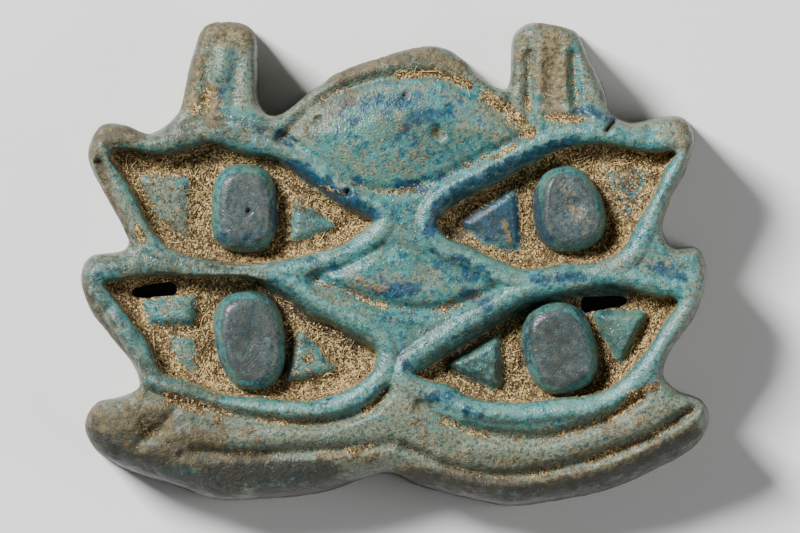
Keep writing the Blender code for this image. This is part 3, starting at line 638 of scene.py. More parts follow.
# Dark stains on the glaze, and painted shadow. These marks are painted shadow where the lids and
# pupils shade the bed: those along the upper walls of the eyes, those just right of each pupil,
# and those over the inner pads of the two right eyes.
STAIN_AND_SHADOW_MARKS = [
    (3.2, 0.6, (-20.0, -10.4), (-13.0, -11.4)),
    (1.8, 0.75, (-19.0, -12.2), (-14.0, -13.2), (-9.0, -12.8)),
    (2.2, 0.8, (-20.0, 8.6), (-16.4, 8.8)), (1.5, 0.65, (-20.2, 7.0), (-18.0, 1.6)),
    (1.7, 0.72, (-17.0, 8.6), (-8.6, 8.8)), (1.6, 0.6, (-5.0, 11.8), (-1.0, 13.6), (3.6, 13.8)),
    (2.0, 0.8, (-20.8, -1.2), (-18.8, -5.0), (-16.6, -7.6)),
    (1.4, 0.68, (-20.0, 0.0), (-11.0, -0.2)), (3.0, 0.74, (-9.6, -4.2), (-9.8, -6.4)),
    (3.0, 0.74, (10.5, -4.6), (11.0, -7.0)), (0.9, 0.9, (9.0, -3.6), (8.9, -6.6)),
    (1.0, 0.6, (-16.8, -4.8), (-15.4, -8.0), (-12.0, -9.2)), (2.2, 0.6, (-6.4, 3.4), (-5.4, 2.6)),
    (2.4, 0.3, (-17.0, 5.6), (-14.0, 2.0)), (1.3, 0.4, (-14.4, 12.0), (-13.2, 15.2)),
    (1.4, 0.4, (18.2, -10.6), (20.4, -10.2)), (2.6, 0.4, (-10.2, 4.4), (-10.2, 2.4)),
    (2.6, 0.85, (4.0, -6.8), (6.2, -7.4)), (2.0, 0.5, (14.0, -3.6), (14.8, -5.6)),
    (2.6, 0.5, (4.6, 2.4), (7.0, 2.2)), (1.0, 0.6, (9.6, 4.4), (9.6, 1.8)),
    (1.3, 0.62, (1.0, -14.4), (9.0, -15.4), (15.0, -14.4), (20.0, -11.6)),
    (1.6, 0.45, (-6.0, 9.4), (-3.0, 11.2)), (2.2, 0.45, (0.0, 8.8), (3.4, 8.0)),
    (2.0, 0.34, (-1.0, -4.0), (2.0, -4.6), (0.6, -6.0)), (1.6, 0.3, (1.0, 2.6), (1.6, -0.4)),
    (1.0, 0.35, (-4.6, -2.2), (-2.2, -1.8)), (1.6, 0.72, (-6.9, -3.2), (-6.7, -7.6)),
    (1.0, 0.5, (-7.4, 6.0), (-7.2, 1.4)),
    (1.5, 0.9, (-9.4, -1.4), (-7.0, -2.8), (-5.4, -4.0), (-2.0, -5.6)),
    (0.9, 0.6, (-18.4, 7.0), (-12.4, 7.7), (-7.6, 6.6)), (0.9, 0.45, (14.2, 4.8), (13.9, 1.2)),
    (1.1, 0.9, (11.8, -2.4), (13.2, -1.9), (15.6, -2.0)),
    (0.9, 0.75, (4.0, -5.4), (8.8, -2.8), (11.0, -2.4)), (0.9, 0.62, (13.8, -4.6), (13.5, -8.2)),
    (0.4, 1.0, (14.1, 8.8), (14.5, 9.3)),
]
POOL_MARKS = [
    (1.2, 1.0, (-6.8, 6.4), (-4.0, 4.7), (-1.7, 3.3)), (0.6, 0.9, (-7.8, 8.6), (-7.0, 8.0)),
    (0.9, 0.9, (-2.8, 9.5)), (0.7, 1.0, (-2.6, 5.4)), (0.85, 0.7, (-11.6, 11.5)),
    (0.6, 0.7, (-8.6, 8.6), (-9.2, 8.9)),
    (0.85, 0.85, (2.2, 1.9), (2.6, 3.6), (4.4, 5.0), (7.9, 6.8), (11.6, 8.1)),
    (0.75, 0.85, (12.3, 10.2), (14.4, 9.7)), (0.8, 0.75, (0.3, 5.4), (1.9, 4.9)),
    (0.55, 1.0, (3.1, 5.7)), (0.6, 0.85, (4.3, 10.7)), (0.6, 0.6, (1.6, 9.9)),
    (0.85, 0.7, (2.8, -0.1), (5.4, -0.9)), (0.85, 0.95, (4.6, -2.0), (6.2, -2.8)),
    (0.75, 0.8, (1.8, -2.1)), (0.7, 0.8, (9.2, -1.1), (12.5, -0.9)),
    (0.9, 0.75, (17.2, -0.2), (19.0, -0.8)), (0.9, 0.6, (-5.7, 0.2), (-3.8, -0.3)),
    (0.9, 0.68, (0.2, 8.4), (1.2, 9.4)), (0.9, 0.8, (-1.6, -1.6), (0.2, -2.2)),
    (0.6, 0.75, (2.4, 0.9), (4.6, 0.2), (6.2, -0.7)), (2.6, 1.25, (5.2, 3.2), (7.9, 2.8)),
    (0.9, 0.48, (-10.6, 1.6), (-9.0, 1.8)), (1.1, 0.68, (-3.4, 10.2), (-1.0, 10.8)),
    (1.3, 0.72, (1.4, 9.4), (3.6, 10.2)), (1.1, 0.66, (-0.8, 10.4), (1.6, 11.2)),
    (1.2, 0.62, (-0.8, -1.4), (1.6, -1.8)), (0.8, 1.0, (9.3, 4.6), (9.4, 2.6), (10.0, 1.4)),
    (0.75, 0.8, (-7.9, 4.8), (-8.0, 2.2)), (1.0, 0.7, (-11.6, 1.6)),
    (1.2, 0.58, (2.0, -8.9), (5.6, -9.9)), (0.8, 0.6, (0.8, -7.0), (0.6, -6.0)),
    (0.7, 0.6, (9.0, -4.0), (8.6, -6.0)), (0.9, 0.55, (-15.4, -2.7)), (0.8, 0.6, (-3.9, -6.6)),
    (0.6, 0.5, (-12.0, -5.0), (-11.6, -7.2)), (0.8, 0.5, (16.2, 6.4), (14.5, 3.4)),
    (0.8, 0.5, (1.4, 8.0)), (0.6, 0.4, (-3.2, -9.0), (-5.4, -9.6)), (0.6, 0.4, (2.0, -10.6)),
    (1.4, 0.56, (15.9, 5.4), (15.3, 3.4)),
]
# Paler glaze, and painted highlight. These marks are painted light where the rims catch the lamps:
# those along the lower rims of the eyes, along the right edge of the face, over the upper right
# eye's upper rim, and at the inner corner of the upper left eye.
PALE_AND_HIGHLIGHT_MARKS = [
    (1.0, 0.8, (-20.3, -0.4), (-18.6, 0.0)), (0.9, 0.7, (19.4, -0.6), (20.2, -1.6)),
    (0.8, 0.7, (-1.2, 2.9), (-0.6, 2.0)), (0.6, 0.7, (-13.2, 12.6), (-13.0, 11.6)),
    (0.7, 0.6, (-4.4, 12.0), (-6.6, 10.2)), (0.7, 0.6, (8.2, 9.0), (9.2, 8.8)),
    (0.9, 0.6, (17.8, -5.6), (17.2, -7.0)),
    (0.9, 0.8, (4.0, -9.6), (9.0, -10.0), (13.0, -9.5), (16.6, -7.6)),
    (0.7, 0.7, (-12.0, -9.4), (-6.0, -9.9), (-1.8, -8.6)),
    (0.7, 0.8, (-5.5, 0.6), (-3.0, 1.6), (-0.8, 2.6)),
    (1.1, 1.0, (19.8, 8.6), (19.0, 5.4), (17.7, 2.2)),
    (1.1, 0.9, (20.4, -0.8), (19.4, -3.8), (17.8, -6.6)),
    (0.8, 0.9, (-0.4, -7.6), (1.4, -9.0), (4.0, -10.2)),
    (0.8, 0.5, (4.0, 5.8), (8.4, 8.0), (13.0, 8.8)),
]
GRIT_MARKS = [
    (0.85, 0.9, (6.0, 11.1), (7.5, 10.2), (8.9, 8.7)),
    (0.6, 0.95, (0.3, 12.5), (2.6, 12.7), (4.8, 11.9)), (0.9, 0.85, (-15.2, -9.0), (-13.0, -9.7)),
    (1.0, 0.7, (-16.8, -11.2)), (0.5, 0.9, (-16.9, 1.5), (-17.2, 2.3)),
    (1.0, 0.5, (-13.5, 10.2), (-12.3, 11.4)), (0.8, 0.62, (-5.9, -6.4)), (1.2, 0.66, (-6.2, 3.9)),
    (0.6, 0.75, (15.6, -8.9), (17.4, -8.2)), (0.55, 0.8, (10.2, 9.7), (12.2, 9.5)),
    (0.5, 0.55, (10.1, 11.2)), (0.4, 0.45, (-4.9, 5.0), (-3.4, 4.6)),
    (0.4, 0.55, (-1.0, 4.7), (1.2, 4.8)), (0.4, 0.6, (6.4, 6.9), (8.0, 7.8)),
    (0.34, 1.6, (-2.75, -12.85)), (0.3, 1.6, (-11.8, -10.5)),
]
SWEPT_MARKS = [
    (0.95, 1.0, (12.0, -2.0), (13.4, -1.9), (15.2, -1.9)),
    (0.8, 0.8, (4.4, -5.2), (8.8, -2.8), (11.0, -2.4)), (0.8, 0.8, (12.6, -3.4)),
    (0.6, 0.5, (3.4, 2.4), (4.6, 1.6)), (0.9, 0.45, (14.4, 4.9), (15.6, 5.2)),
    (0.7, 0.55, (15.2, 3.4)),
]
FILM_MARKS = [
    (2.4, 0.95, (-20.4, 8.4), (-17.0, 8.8), (-13.0, 9.2)),
    (2.2, 0.9, (-20.4, 7.4), (-19.0, 4.0), (-17.4, 1.4)), (1.8, 0.62, (-13.0, 9.2), (-7.6, 8.2)),
    (3.2, 0.75, (-12.6, 15.0), (-12.6, 10.0)), (1.6, 0.8, (-10.2, 14.4), (-10.2, 11.0)),
    (1.8, 0.62, (-20.6, 0.0), (-15.0, 0.0), (-9.0, -0.4)),
    (2.2, 0.62, (-20.6, -1.8), (-18.6, -5.4), (-16.0, -8.0)),
    (1.4, 0.6, (-15.6, -7.8), (-12.0, -9.2)),
    (2.8, 1.15, (-17.0, -10.0), (-8.0, -11.6), (-1.0, -11.8)),
    (2.6, 1.1, (-12.0, -13.2), (-1.0, -13.4)), (3.4, 1.1, (0.8, -9.6), (0.8, -13.6)),
    (3.2, 1.3, (3.0, -12.8), (9.0, -13.2), (16.0, -11.2)), (2.6, 1.1, (16.4, -9.8), (20.2, -10.5)),
    (2.6, 0.8, (-6.4, 9.0), (-4.6, 10.2)), (1.8, 0.5, (-3.6, 7.4), (-1.6, 6.4)),
    (1.8, 0.95, (-6.6, 10.4), (-3.4, 12.4), (1.6, 13.6), (5.0, 12.4)),
    (2.6, 0.36, (0.2, 9.6), (2.4, 7.6), (5.8, 8.6)),
    (1.1, 0.62, (-3.0, 11.2), (2.4, 11.7), (5.0, 10.4)), (1.3, 0.62, (4.4, 9.2), (7.0, 8.3)),
    (1.5, 0.75, (5.8, 10.2), (7.2, 9.2)), (1.4, 0.52, (-1.8, 6.6), (2.0, 6.2)),
    (1.8, 0.95, (8.5, 15.0), (8.3, 10.4)), (1.3, 0.75, (12.6, 13.6), (13.3, 11.0)),
    (2.8, 0.9, (10.5, 15.4), (10.6, 10.6)), (2.4, 0.78, (18.2, 9.2), (19.4, 7.6)),
    (1.2, 0.42, (19.2, 6.4), (17.4, 2.0)), (1.6, 0.55, (20.4, -1.0), (18.4, -6.4)),
    (1.8, 0.6, (-2.6, -1.4), (2.6, -1.0)), (1.3, 0.62, (-5.4, -1.6), (-3.4, -2.6)),
    (1.4, 0.4, (0.6, 1.6), (1.6, 3.4)), (1.8, 0.55, (13.6, 0.0), (18.6, -0.2)),
    (2.0, 0.36, (-1.0, -4.6), (0.6, -5.6)), (1.2, 0.8, (-18.0, -0.9), (-9.0, -1.2)),
    (2.4, 0.8, (-15.6, 5.4), (-14.6, 2.6)), (2.0, 0.45, (-5.8, 3.4), (-5.4, 2.2)),
    (2.0, 0.6, (-15.0, -3.0), (-14.0, -6.6)), (2.4, 0.55, (-6.0, -6.6)), (2.4, 0.7, (15.4, 5.6)),
    (2.2, 1.2, (-20.4, -10.6), (-18.4, -12.2), (-15.6, -12.6)),
    (1.5, 1.2, (-14.0, -15.0), (-9.0, -15.6), (-4.0, -15.2)),
]

# The wall's finish gives way to the face's from a height up, over some height, and from a way in
# from the outline, over some way. Then how worn, stained and filmed the wall is, and how filmed
# the rest is at least; how pale the crests are painted, paler glaze and painted highlight
# together;
# where the smoke sets in on a pupil; and the grit in the grooves, with the height, the size and
# the seed of the noise that varies it.
WALL_TOP = 1.0
WALL_FADE = 2.0
WALL_WORN = 0.52
WALL_STAIN = 0.50
WALL_FILM = 0.60
LEAST_FILM = 0.26
EDGE_START = 0.25
EDGE_FADE = 0.5
CREST_PALE_AND_HIGHLIGHT = 0.50
SMOKE_START = 0.45
GROOVE_GRIT = 0.85
GROOVE_DRIFT = (0.6, 1.7, 8)

plan = body[:, :2]
_, forms = relief(plan)
facing = ease((body[:, 2] - WALL_TOP) / WALL_FADE)
wall = 1.0 - ease((forms["inward"] - EDGE_START) / EDGE_FADE)


def clouds(places, layers):
    """A sum of noises, each given as its height, its size and its seed."""
    return sum(rise * cloud(places, size, seed) for rise, size, seed in layers)


def firm(mask):
    """A mask made firmer: none of it up to about a third, all of it from just under one."""
    return np.clip(mask * 1.6 - 0.5, 0.0, 1.0)


swept = np.maximum(forms["clean"], marks(plan, SWEPT_MARKS))
grit = np.maximum(forms["bed"] * (1.0 - swept), marks(plan, GRIT_MARKS))
in_grooves = forms["pressed"] * (GROOVE_GRIT + clouds(plan, [GROOVE_DRIFT]))
grit = np.maximum(grit * (1.0 - forms["side"]), in_grooves) * facing
worn = np.maximum(marks(plan, WORN_MARKS), WALL_WORN * (1.0 - facing))
soot = marks(plan, SOOT_MARKS)
# Dark stains and painted shadow from the marks, and a darkening of the wall round the outline
stain_and_shadow = np.maximum(marks(plan, STAIN_AND_SHADOW_MARKS), WALL_STAIN * wall)
pool = marks(plan, POOL_MARKS) * facing
film = np.maximum(marks(plan, FILM_MARKS), LEAST_FILM + WALL_FILM * wall)
film *= 1.0 - forms["pupil"]
# Paler glaze and painted highlight, along the rims' crests and the lit rims
pale_and_highlight = np.maximum(CREST_PALE_AND_HIGHLIGHT * forms["crest"], marks(plan, PALE_AND_HIGHLIGHT_MARKS)) * facing
smoky = ease((forms["pupil"] - SMOKE_START) / (1.0 - SMOKE_START)) * facing

# The swelling of each kind of surface: the height, the size and the seed of each of its noises
LUMPS = [(0.06, 1.8, 1), (0.028, 0.6, 2)]
SANDY = [(0.045, 0.30, 3), (0.03, 0.8, 4)]
LOOSE = [(0.05, 0.16, 5), (0.08, 0.42, 6), (0.08, 1.1, 7)]
bare = firm(np.maximum(worn, soot))
swell = clouds(body, LUMPS) + bare * clouds(body, SANDY) + firm(grit) * clouds(body, LOOSE)

# The swelling moves the surface along its normals, each the sum of the normals round a corner.
corner = body[triangles]
flat_normal = np.cross(corner[:, 1] - corner[:, 0], corner[:, 2] - corner[:, 0])
normal = np.stack([
    sum(np.bincount(triangles[:, k], flat_normal[:, axis], len(body)) for k in range(3))
    for axis in range(3)
], axis=1)
normal /= np.maximum(np.linalg.norm(normal, axis=1, keepdims=True), 1e-12)
on_back = body[:, 2] < 1e-6
body = body + normal * np.where(on_back, 0.0, swell)[:, None]
body[on_back & (depth(body[:, :2], drawn_outline)[0] > BACK_FOOT), 2] += BACK_HOLLOW
body[:, 2] = np.maximum(body[:, 2], 0.0)


def to_frame(points):
    """Places of the drawing, in the frame's metres: the middle of the outline over the origin."""
    points = np.asarray(points, float)
    return np.concatenate([(points[..., :2] - MIDDLE) * UNIT, points[..., 2:] / 1000.0], axis=-1)


def make_piece(name, points, faces, shares):
    """A smooth mesh object from whole arrays, with a number at each corner for each share."""
    mesh = bpy.data.meshes.new(name)
    mesh.from_pydata(to_frame(points).tolist(), [], faces.tolist())
    for label, values in shares.items():
        layer = mesh.attributes.new(label, "FLOAT", "POINT")
        layer.data.foreach_set("value", values.astype(np.float32))
    mesh.shade_smooth()
    piece = bpy.data.objects.new(name, mesh)
    bpy.context.scene.collection.objects.link(piece)
    return piece


amulet = make_piece("faience_amulet", body, triangles, {
    "grit": grit, "worn": worn, "soot": soot, "stain_and_shadow": stain_and_shadow, "pool": pool, "pale_and_highlight": pale_and_highlight,
    "smoky": smoky, "film": film,
})


# The finishes are built from four node groups, whose sizes are in millimetres: a soft mottle, a
# patch with a broken edge, a scatter of specks, and a bed of grains.
def fit(tree, kind, inputs=None, **settings):
    """A new shader node with its settings, and its inputs either set or linked."""
    made = tree.nodes.new(kind)
    for label, value in settings.items():
        setattr(made, label, value)
    for label, value in (inputs or {}).items():
        if isinstance(value, bpy.types.NodeSocket):
            tree.links.new(value, made.inputs[label])
        else:
            made.inputs[label].default_value = value
    return made


def sums(tree, operation, *values):
    """A sum, product or the like of sockets and numbers."""
    return fit(tree, "ShaderNodeMath", dict(enumerate(values)), operation=operation).outputs[0]


def step_up(tree, value, start, end):
    """A smooth rise from 0 to 1 as the value goes from the start to the end."""
    inputs = {"Value": value, "From Min": start, "From Max": end}
    made = fit(tree, "ShaderNodeMapRange", inputs, interpolation_type="SMOOTHSTEP")
    return made.outputs["Result"]


def group_of(name, inputs, outputs):
    """An empty node group with its sockets, the sockets of its two ends, and the scale that its
    size in millimetres gives."""
    group = bpy.data.node_groups.new(name, "ShaderNodeTree")
    for label in ("Place", "Size", *inputs):
        kind = "NodeSocketVector" if label == "Place" else "NodeSocketFloat"
        group.interface.new_socket(label, in_out="INPUT", socket_type=kind)
    for label in outputs:
        group.interface.new_socket(label, in_out="OUTPUT", socket_type="NodeSocketFloat")
    entry = group.nodes.new("NodeGroupInput").outputs
    leave = group.nodes.new("NodeGroupOutput").inputs
    return group, entry, leave, sums(group, "DIVIDE", 1000.0, entry["Size"])


def rough_noise(tree, place, scale, roughness=0.6):
    """Noise in three layers, the finer ones weaker by the roughness."""
    inputs = {"Vector": place, "Scale": scale, "Detail": 3.0, "Roughness": roughness}
    return fit(tree, "ShaderNodeTexNoise", inputs).outputs["Fac"]


def cells_of(tree, place, scale):
    """Cells round scattered points: the distance from each point, and two chances per cell."""
    cells = fit(tree, "ShaderNodeTexVoronoi", {"Vector": place, "Scale": scale}).outputs
    chance = fit(tree, "ShaderNodeSeparateColor", {"Color": cells["Color"]}).outputs
    return cells["Distance"], chance["Red"], chance["Green"]


mottle, entry, leave, scale = group_of("mottle", ("Low", "High"), ("Share",))
noise = rough_noise(mottle, entry["Place"], scale, 0.62)
mottle.links.new(step_up(mottle, noise, entry["Low"], entry["High"]), leave["Share"])

patch, entry, leave, scale = group_of("broken patch", ("Mask", "Break", "Soft"), ("Share",))
noise = rough_noise(patch, entry["Place"], scale)
ragged = sums(patch, "MULTIPLY", sums(patch, "SUBTRACT", noise, 0.5), entry["Break"])
edge = sums(patch, "ADD", entry["Mask"], ragged)
outer = sums(patch, "SUBTRACT", 0.5, entry["Soft"])
inner = sums(patch, "ADD", 0.5, entry["Soft"])
patch.links.new(step_up(patch, edge, outer, inner), leave["Share"])

# The distances from its middle, in cells, where a speck ends and where it is full
SPECK_ROUND = (0.55, 0.25)
specks, entry, leave, scale = group_of("specks", ("Amount",), ("Share",))
distance, chance, _ = cells_of(specks, entry["Place"], scale)
chosen = sums(specks, "LESS_THAN", chance, entry["Amount"])
round_off = step_up(specks, distance, *SPECK_ROUND)
specks.links.new(sums(specks, "MULTIPLY", chosen, round_off), leave["Share"])

# Grit drifts in heaps some grains wide, whose noise is stretched between levels, and a grain lies
# where the drift is over its own level
DRIFT_SIZE = 5.0
DRIFT_LEVELS = (3.2, -0.55)
GRAIN_LEVELS = (0.25, 0.2)
GRAIN_EDGE = 0.12
grains, entry, leave, scale = group_of("grains", ("Mask",), ("Tone", "Height", "Cover"))
distance, chance, tone = cells_of(grains, entry["Place"], scale)
noise = rough_noise(grains, entry["Place"], sums(grains, "MULTIPLY", scale, 1 / DRIFT_SIZE))
drift = sums(grains, "MULTIPLY_ADD", noise, *DRIFT_LEVELS)
drift = sums(grains, "MULTIPLY", drift, entry["Mask"])
lying = sums(grains, "SUBTRACT", drift, sums(grains, "MULTIPLY_ADD", chance, *GRAIN_LEVELS))
grains.links.new(tone, leave["Tone"])
grains.links.new(sums(grains, "SUBTRACT", 1.0, distance), leave["Height"])
grains.links.new(step_up(grains, lying, 0.0, GRAIN_EDGE), leave["Cover"])

# The glaze in its thicknesses, what lies on it, the bare body under it, and the grit
TURQUOISE = (0.062, 0.220, 0.216, 1.0)
SEA_GREEN = (0.074, 0.200, 0.157, 1.0)
DEEP_TEAL = (0.014, 0.080, 0.105, 1.0)
GREEN_GREY = (0.105, 0.175, 0.125, 1.0)
# Pale turquoise, both for paler glaze and for painted highlight
PALE_GLAZE_AND_HIGHLIGHT = (0.150, 0.330, 0.300, 1.0)
DEEP_BLUE = (0.010, 0.062, 0.115, 1.0)
INK_BLUE = (0.004, 0.022, 0.046, 1.0)
SMOKY_GREY = (0.094, 0.092, 0.084, 1.0)
SMOKY_DARK = (0.028, 0.040, 0.046, 1.0)
FILM_LIGHT = (0.215, 0.205, 0.125, 1.0)
FILM_DARK = (0.046, 0.054, 0.036, 1.0)
OLIVE_BODY = (0.225, 0.170, 0.072, 1.0)
BROWN_BODY = (0.070, 0.048, 0.022, 1.0)
SOOT_GREY = (0.028, 0.025, 0.021, 1.0)
# Dark brown-grey, for stains and for painted shadow
STAIN_AND_SHADOW_BROWN = (0.024, 0.027, 0.022, 1.0)
SILT_BROWN = (0.070, 0.045, 0.020, 1.0)
DARK_SPECK = (0.008, 0.020, 0.024, 1.0)
# Near white, for painted glints that stand for the sparkle off the glaze
PAINTED_GLINT = (0.420, 0.460, 0.380, 1.0)
GRIT_TONES = [
    (0.05, (0.030, 0.017, 0.006)), (0.50, (0.225, 0.147, 0.058)), (0.94, (0.760, 0.565, 0.262)),
]

# Each mottle: the size of its spots, and the levels of noise where it sets in and is full
MOTTLES = {
    "body": (2.4, 0.42, 0.56), "thin": (0.42, 0.32, 0.60), "green": (1.5, 0.45, 0.62),
    "smoke": (0.30, 0.36, 0.62), "film": (0.25, 0.34, 0.56), "thick": (0.50, 0.38, 0.60),
    "paste": (0.30, 0.38, 0.60), "pits": (0.11, 0.52, 0.66), "damp": (0.8, 0.45, 0.62),
    "stain_and_shadow": (0.6, 0.30, 0.62),
}
# Each patch: the size of the breaks in its edge, how ragged and how soft the edge is
PATCHES = {
    "pale_and_highlight": (0.5, 2.4, 0.20), "smoky": (0.8, 2.2, 0.25), "film": (0.40, 2.2, 0.14),
    "pool": (0.7, 2.2, 0.26), "worn": (0.55, 1.9, 0.16), "soot": (0.7, 1.6, 0.28),
}
# How much each coat hides of what is under it
HIDING = {
    "green": 0.6, "pale_and_highlight": 0.6, "smoky": 0.85, "film": 0.74, "pool": 0.88, "worn": 0.85,
    "soot": 0.85, "pits": 0.3, "dark specks": 0.60, "painted glints": 0.35, "damp": 0.75,
}
# Each scatter of specks: the size of its cells, and the share of them that hold a speck; and the
# size of the cells that hold the grains of the grit
DARK_SPECKS = (0.14, 0.14)
# The light scatter is painted glints
PAINTED_GLINTS = (0.10, 0.05)
BED_GRAIN = 0.10


def grouped(tree, group, **inputs):
    """A group placed in a material with its values, and its outputs."""
    return fit(tree, "ShaderNodeGroup", inputs, node_tree=group).outputs


def coat(tree, under, over, share):
    """One colour laid over another by a share."""
    inputs = {"Factor": share, 6: under, 7: over}
    return fit(tree, "ShaderNodeMix", inputs, data_type="RGBA").outputs[2]


def tones(tree, share, stops):
    """A run of colours along a share."""
    ramp = fit(tree, "ShaderNodeValToRGB", {"Fac": share})
    ramp.color_ramp.elements[0].position = stops[0][0]
    ramp.color_ramp.elements[-1].position = stops[-1][0]
    for at, _ in stops[1:-1]:
        ramp.color_ramp.elements.new(at)
    for element, (_, colour) in zip(ramp.color_ramp.elements, stops):
        element.color = (*colour, 1.0)
    return ramp.outputs["Color"]


# How rough the bare glaze is, and how much rougher wear, film and smoke make it; soot and grit
# are at least as rough as their own values
GLAZE_ROUGH = 0.24
WORN_ROUGH = 0.28
FILM_ROUGH = 0.20
DULL_ROUGH = 0.12
SOOT_ROUGH = 0.5
GRIT_ROUGH = 0.95
GLAZE_SPECULAR = 0.38

# The fine unevenness: the scale, the detail and the height of each noise, the height of the
# grains, how much the smoky and pooled glaze smooths it, and its full height in metres
PEEL = (3600.0, 2.0, 0.45)
PORES = (7500.0, 1.0, 0.50)
SAND = (9000.0, 2.0, 0.6)
GRAIN_BUMP = 0.9
SMOOTHING = -0.5
BUMP_HEIGHT = 0.00012
BUMP_STRENGTH = 0.9


def faience():
    """The glaze, and over it the bare body, the soot and the grit, each in its broken patches."""
    material = bpy.data.materials.new("turquoise faience")
    material.use_nodes = True
    tree = material.node_tree
    shader = tree.nodes["Principled BSDF"]
    at = fit(tree, "ShaderNodeTexCoord").outputs["Object"]
    mask = {
        label: fit(tree, "ShaderNodeAttribute", attribute_name=label).outputs["Fac"]
        for label in ("grit", "worn", "soot", "stain_and_shadow", "pool", "pale_and_highlight", "smoky", "film")
    }

    def spread(label):
        """A mottle's share, from its own values."""
        size, low, high = MOTTLES[label]
        return grouped(tree, mottle, Place=at, Size=size, Low=low, High=high)["Share"]

    def broken(label):
        """A mask broken up by its patch's own values."""
        size, ragged, soft = PATCHES[label]
        inputs = {"Size": size, "Mask": mask[label], "Break": ragged, "Soft": soft}
        return grouped(tree, patch, Place=at, **inputs)["Share"]

    def scatter(size, amount):
        """The share of a scatter of specks."""
        return grouped(tree, specks, Place=at, Size=size, Amount=amount)["Share"]

    def laid(under, over, share, label):
        """A coat laid over a colour, by its share and by how much such a coat hides."""
        return coat(tree, under, over, sums(tree, "MULTIPLY", share, HIDING[label]))

    def textured(scale, detail):
        """Fine noise for the bump."""
        inputs = {"Vector": at, "Scale": scale, "Detail": detail}
        return fit(tree, "ShaderNodeTexNoise", inputs).outputs["Fac"]

    body_tone = coat(tree, SEA_GREEN, TURQUOISE, spread("body"))
    glaze = coat(tree, DEEP_TEAL, body_tone, spread("thin"))
    glaze = laid(glaze, GREEN_GREY, spread("green"), "green")
    # Paler glaze and painted highlight on the crests and the lit rims
    glaze = laid(glaze, PALE_GLAZE_AND_HIGHLIGHT, broken("pale_and_highlight"), "pale_and_highlight")
    smoke = coat(tree, SMOKY_DARK, SMOKY_GREY, spread("smoke"))
    glaze = laid(glaze, smoke, broken("smoky"), "smoky")
    dull = coat(tree, FILM_DARK, FILM_LIGHT, spread("film"))
    glaze = laid(glaze, dull, broken("film"), "film")
    thick = coat(tree, INK_BLUE, DEEP_BLUE, spread("thick"))
    glaze = laid(glaze, thick, broken("pool"), "pool")

    is_worn = broken("worn")
    is_soot = broken("soot")
    colour = laid(glaze, coat(tree, BROWN_BODY, OLIVE_BODY, spread("paste")), is_worn, "worn")
    colour = laid(colour, SOOT_GREY, is_soot, "soot")
    colour = laid(colour, DARK_SPECK, spread("pits"), "pits")
    colour = laid(colour, DARK_SPECK, scatter(*DARK_SPECKS), "dark specks")
    # Painted glints: tiny light specks that stand for the sparkle off the glaze
    colour = laid(colour, PAINTED_GLINT, scatter(*PAINTED_GLINTS), "painted glints")
    bed = grouped(tree, grains, Place=at, Size=BED_GRAIN, Mask=mask["grit"])
    is_grit = bed["Cover"]
    silted = laid(tones(tree, bed["Tone"], GRIT_TONES), SILT_BROWN, spread("damp"), "damp")
    colour = coat(tree, colour, silted, is_grit)
    # Stains and painted shadow, laid over all the rest, the grit too
    stained_and_shadowed = sums(tree, "MULTIPLY", mask["stain_and_shadow"], spread("stain_and_shadow"))
    colour = coat(tree, colour, STAIN_AND_SHADOW_BROWN, stained_and_shadowed)
    tree.links.new(colour, shader.inputs["Base Color"])

    dulled = sums(tree, "MAXIMUM", mask["smoky"], mask["pool"])
    rough = sums(tree, "MULTIPLY_ADD", is_worn, WORN_ROUGH, GLAZE_ROUGH)
    rough = sums(tree, "MULTIPLY_ADD", mask["film"], FILM_ROUGH, rough)
    rough = sums(tree, "MULTIPLY_ADD", dulled, DULL_ROUGH, rough)
    rough = sums(tree, "MAXIMUM", rough, sums(tree, "MULTIPLY", is_soot, SOOT_ROUGH))
    rough = sums(tree, "MAXIMUM", rough, sums(tree, "MULTIPLY", is_grit, GRIT_ROUGH))
    tree.links.new(rough, shader.inputs["Roughness"])
    shader.inputs["Specular IOR Level"].default_value = GLAZE_SPECULAR

    pores = sums(tree, "MULTIPLY", textured(*PORES[:2]), PORES[2])
    tall = sums(tree, "MULTIPLY_ADD", textured(*PEEL[:2]), PEEL[2], pores)
    tall = sums(tree, "MULTIPLY", tall, sums(tree, "MULTIPLY_ADD", dulled, SMOOTHING, 1.0))
    sandy = sums(tree, "MULTIPLY", textured(*SAND[:2]), is_worn)
    tall = sums(tree, "ADD", tall, sums(tree, "MULTIPLY", sandy, SAND[2]))
    grainy = sums(tree, "MULTIPLY", bed["Height"], is_grit)
    tall = sums(tree, "ADD", tall, sums(tree, "MULTIPLY", grainy, GRAIN_BUMP))
    height = {"Height": tall, "Distance": BUMP_HEIGHT, "Strength": BUMP_STRENGTH}
    tree.links.new(fit(tree, "ShaderNodeBump", height).outputs["Normal"], shader.inputs["Normal"])
    return material


amulet.data.materials.append(faience())
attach(amulet, "root")
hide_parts("quadruple_eye_amulet")

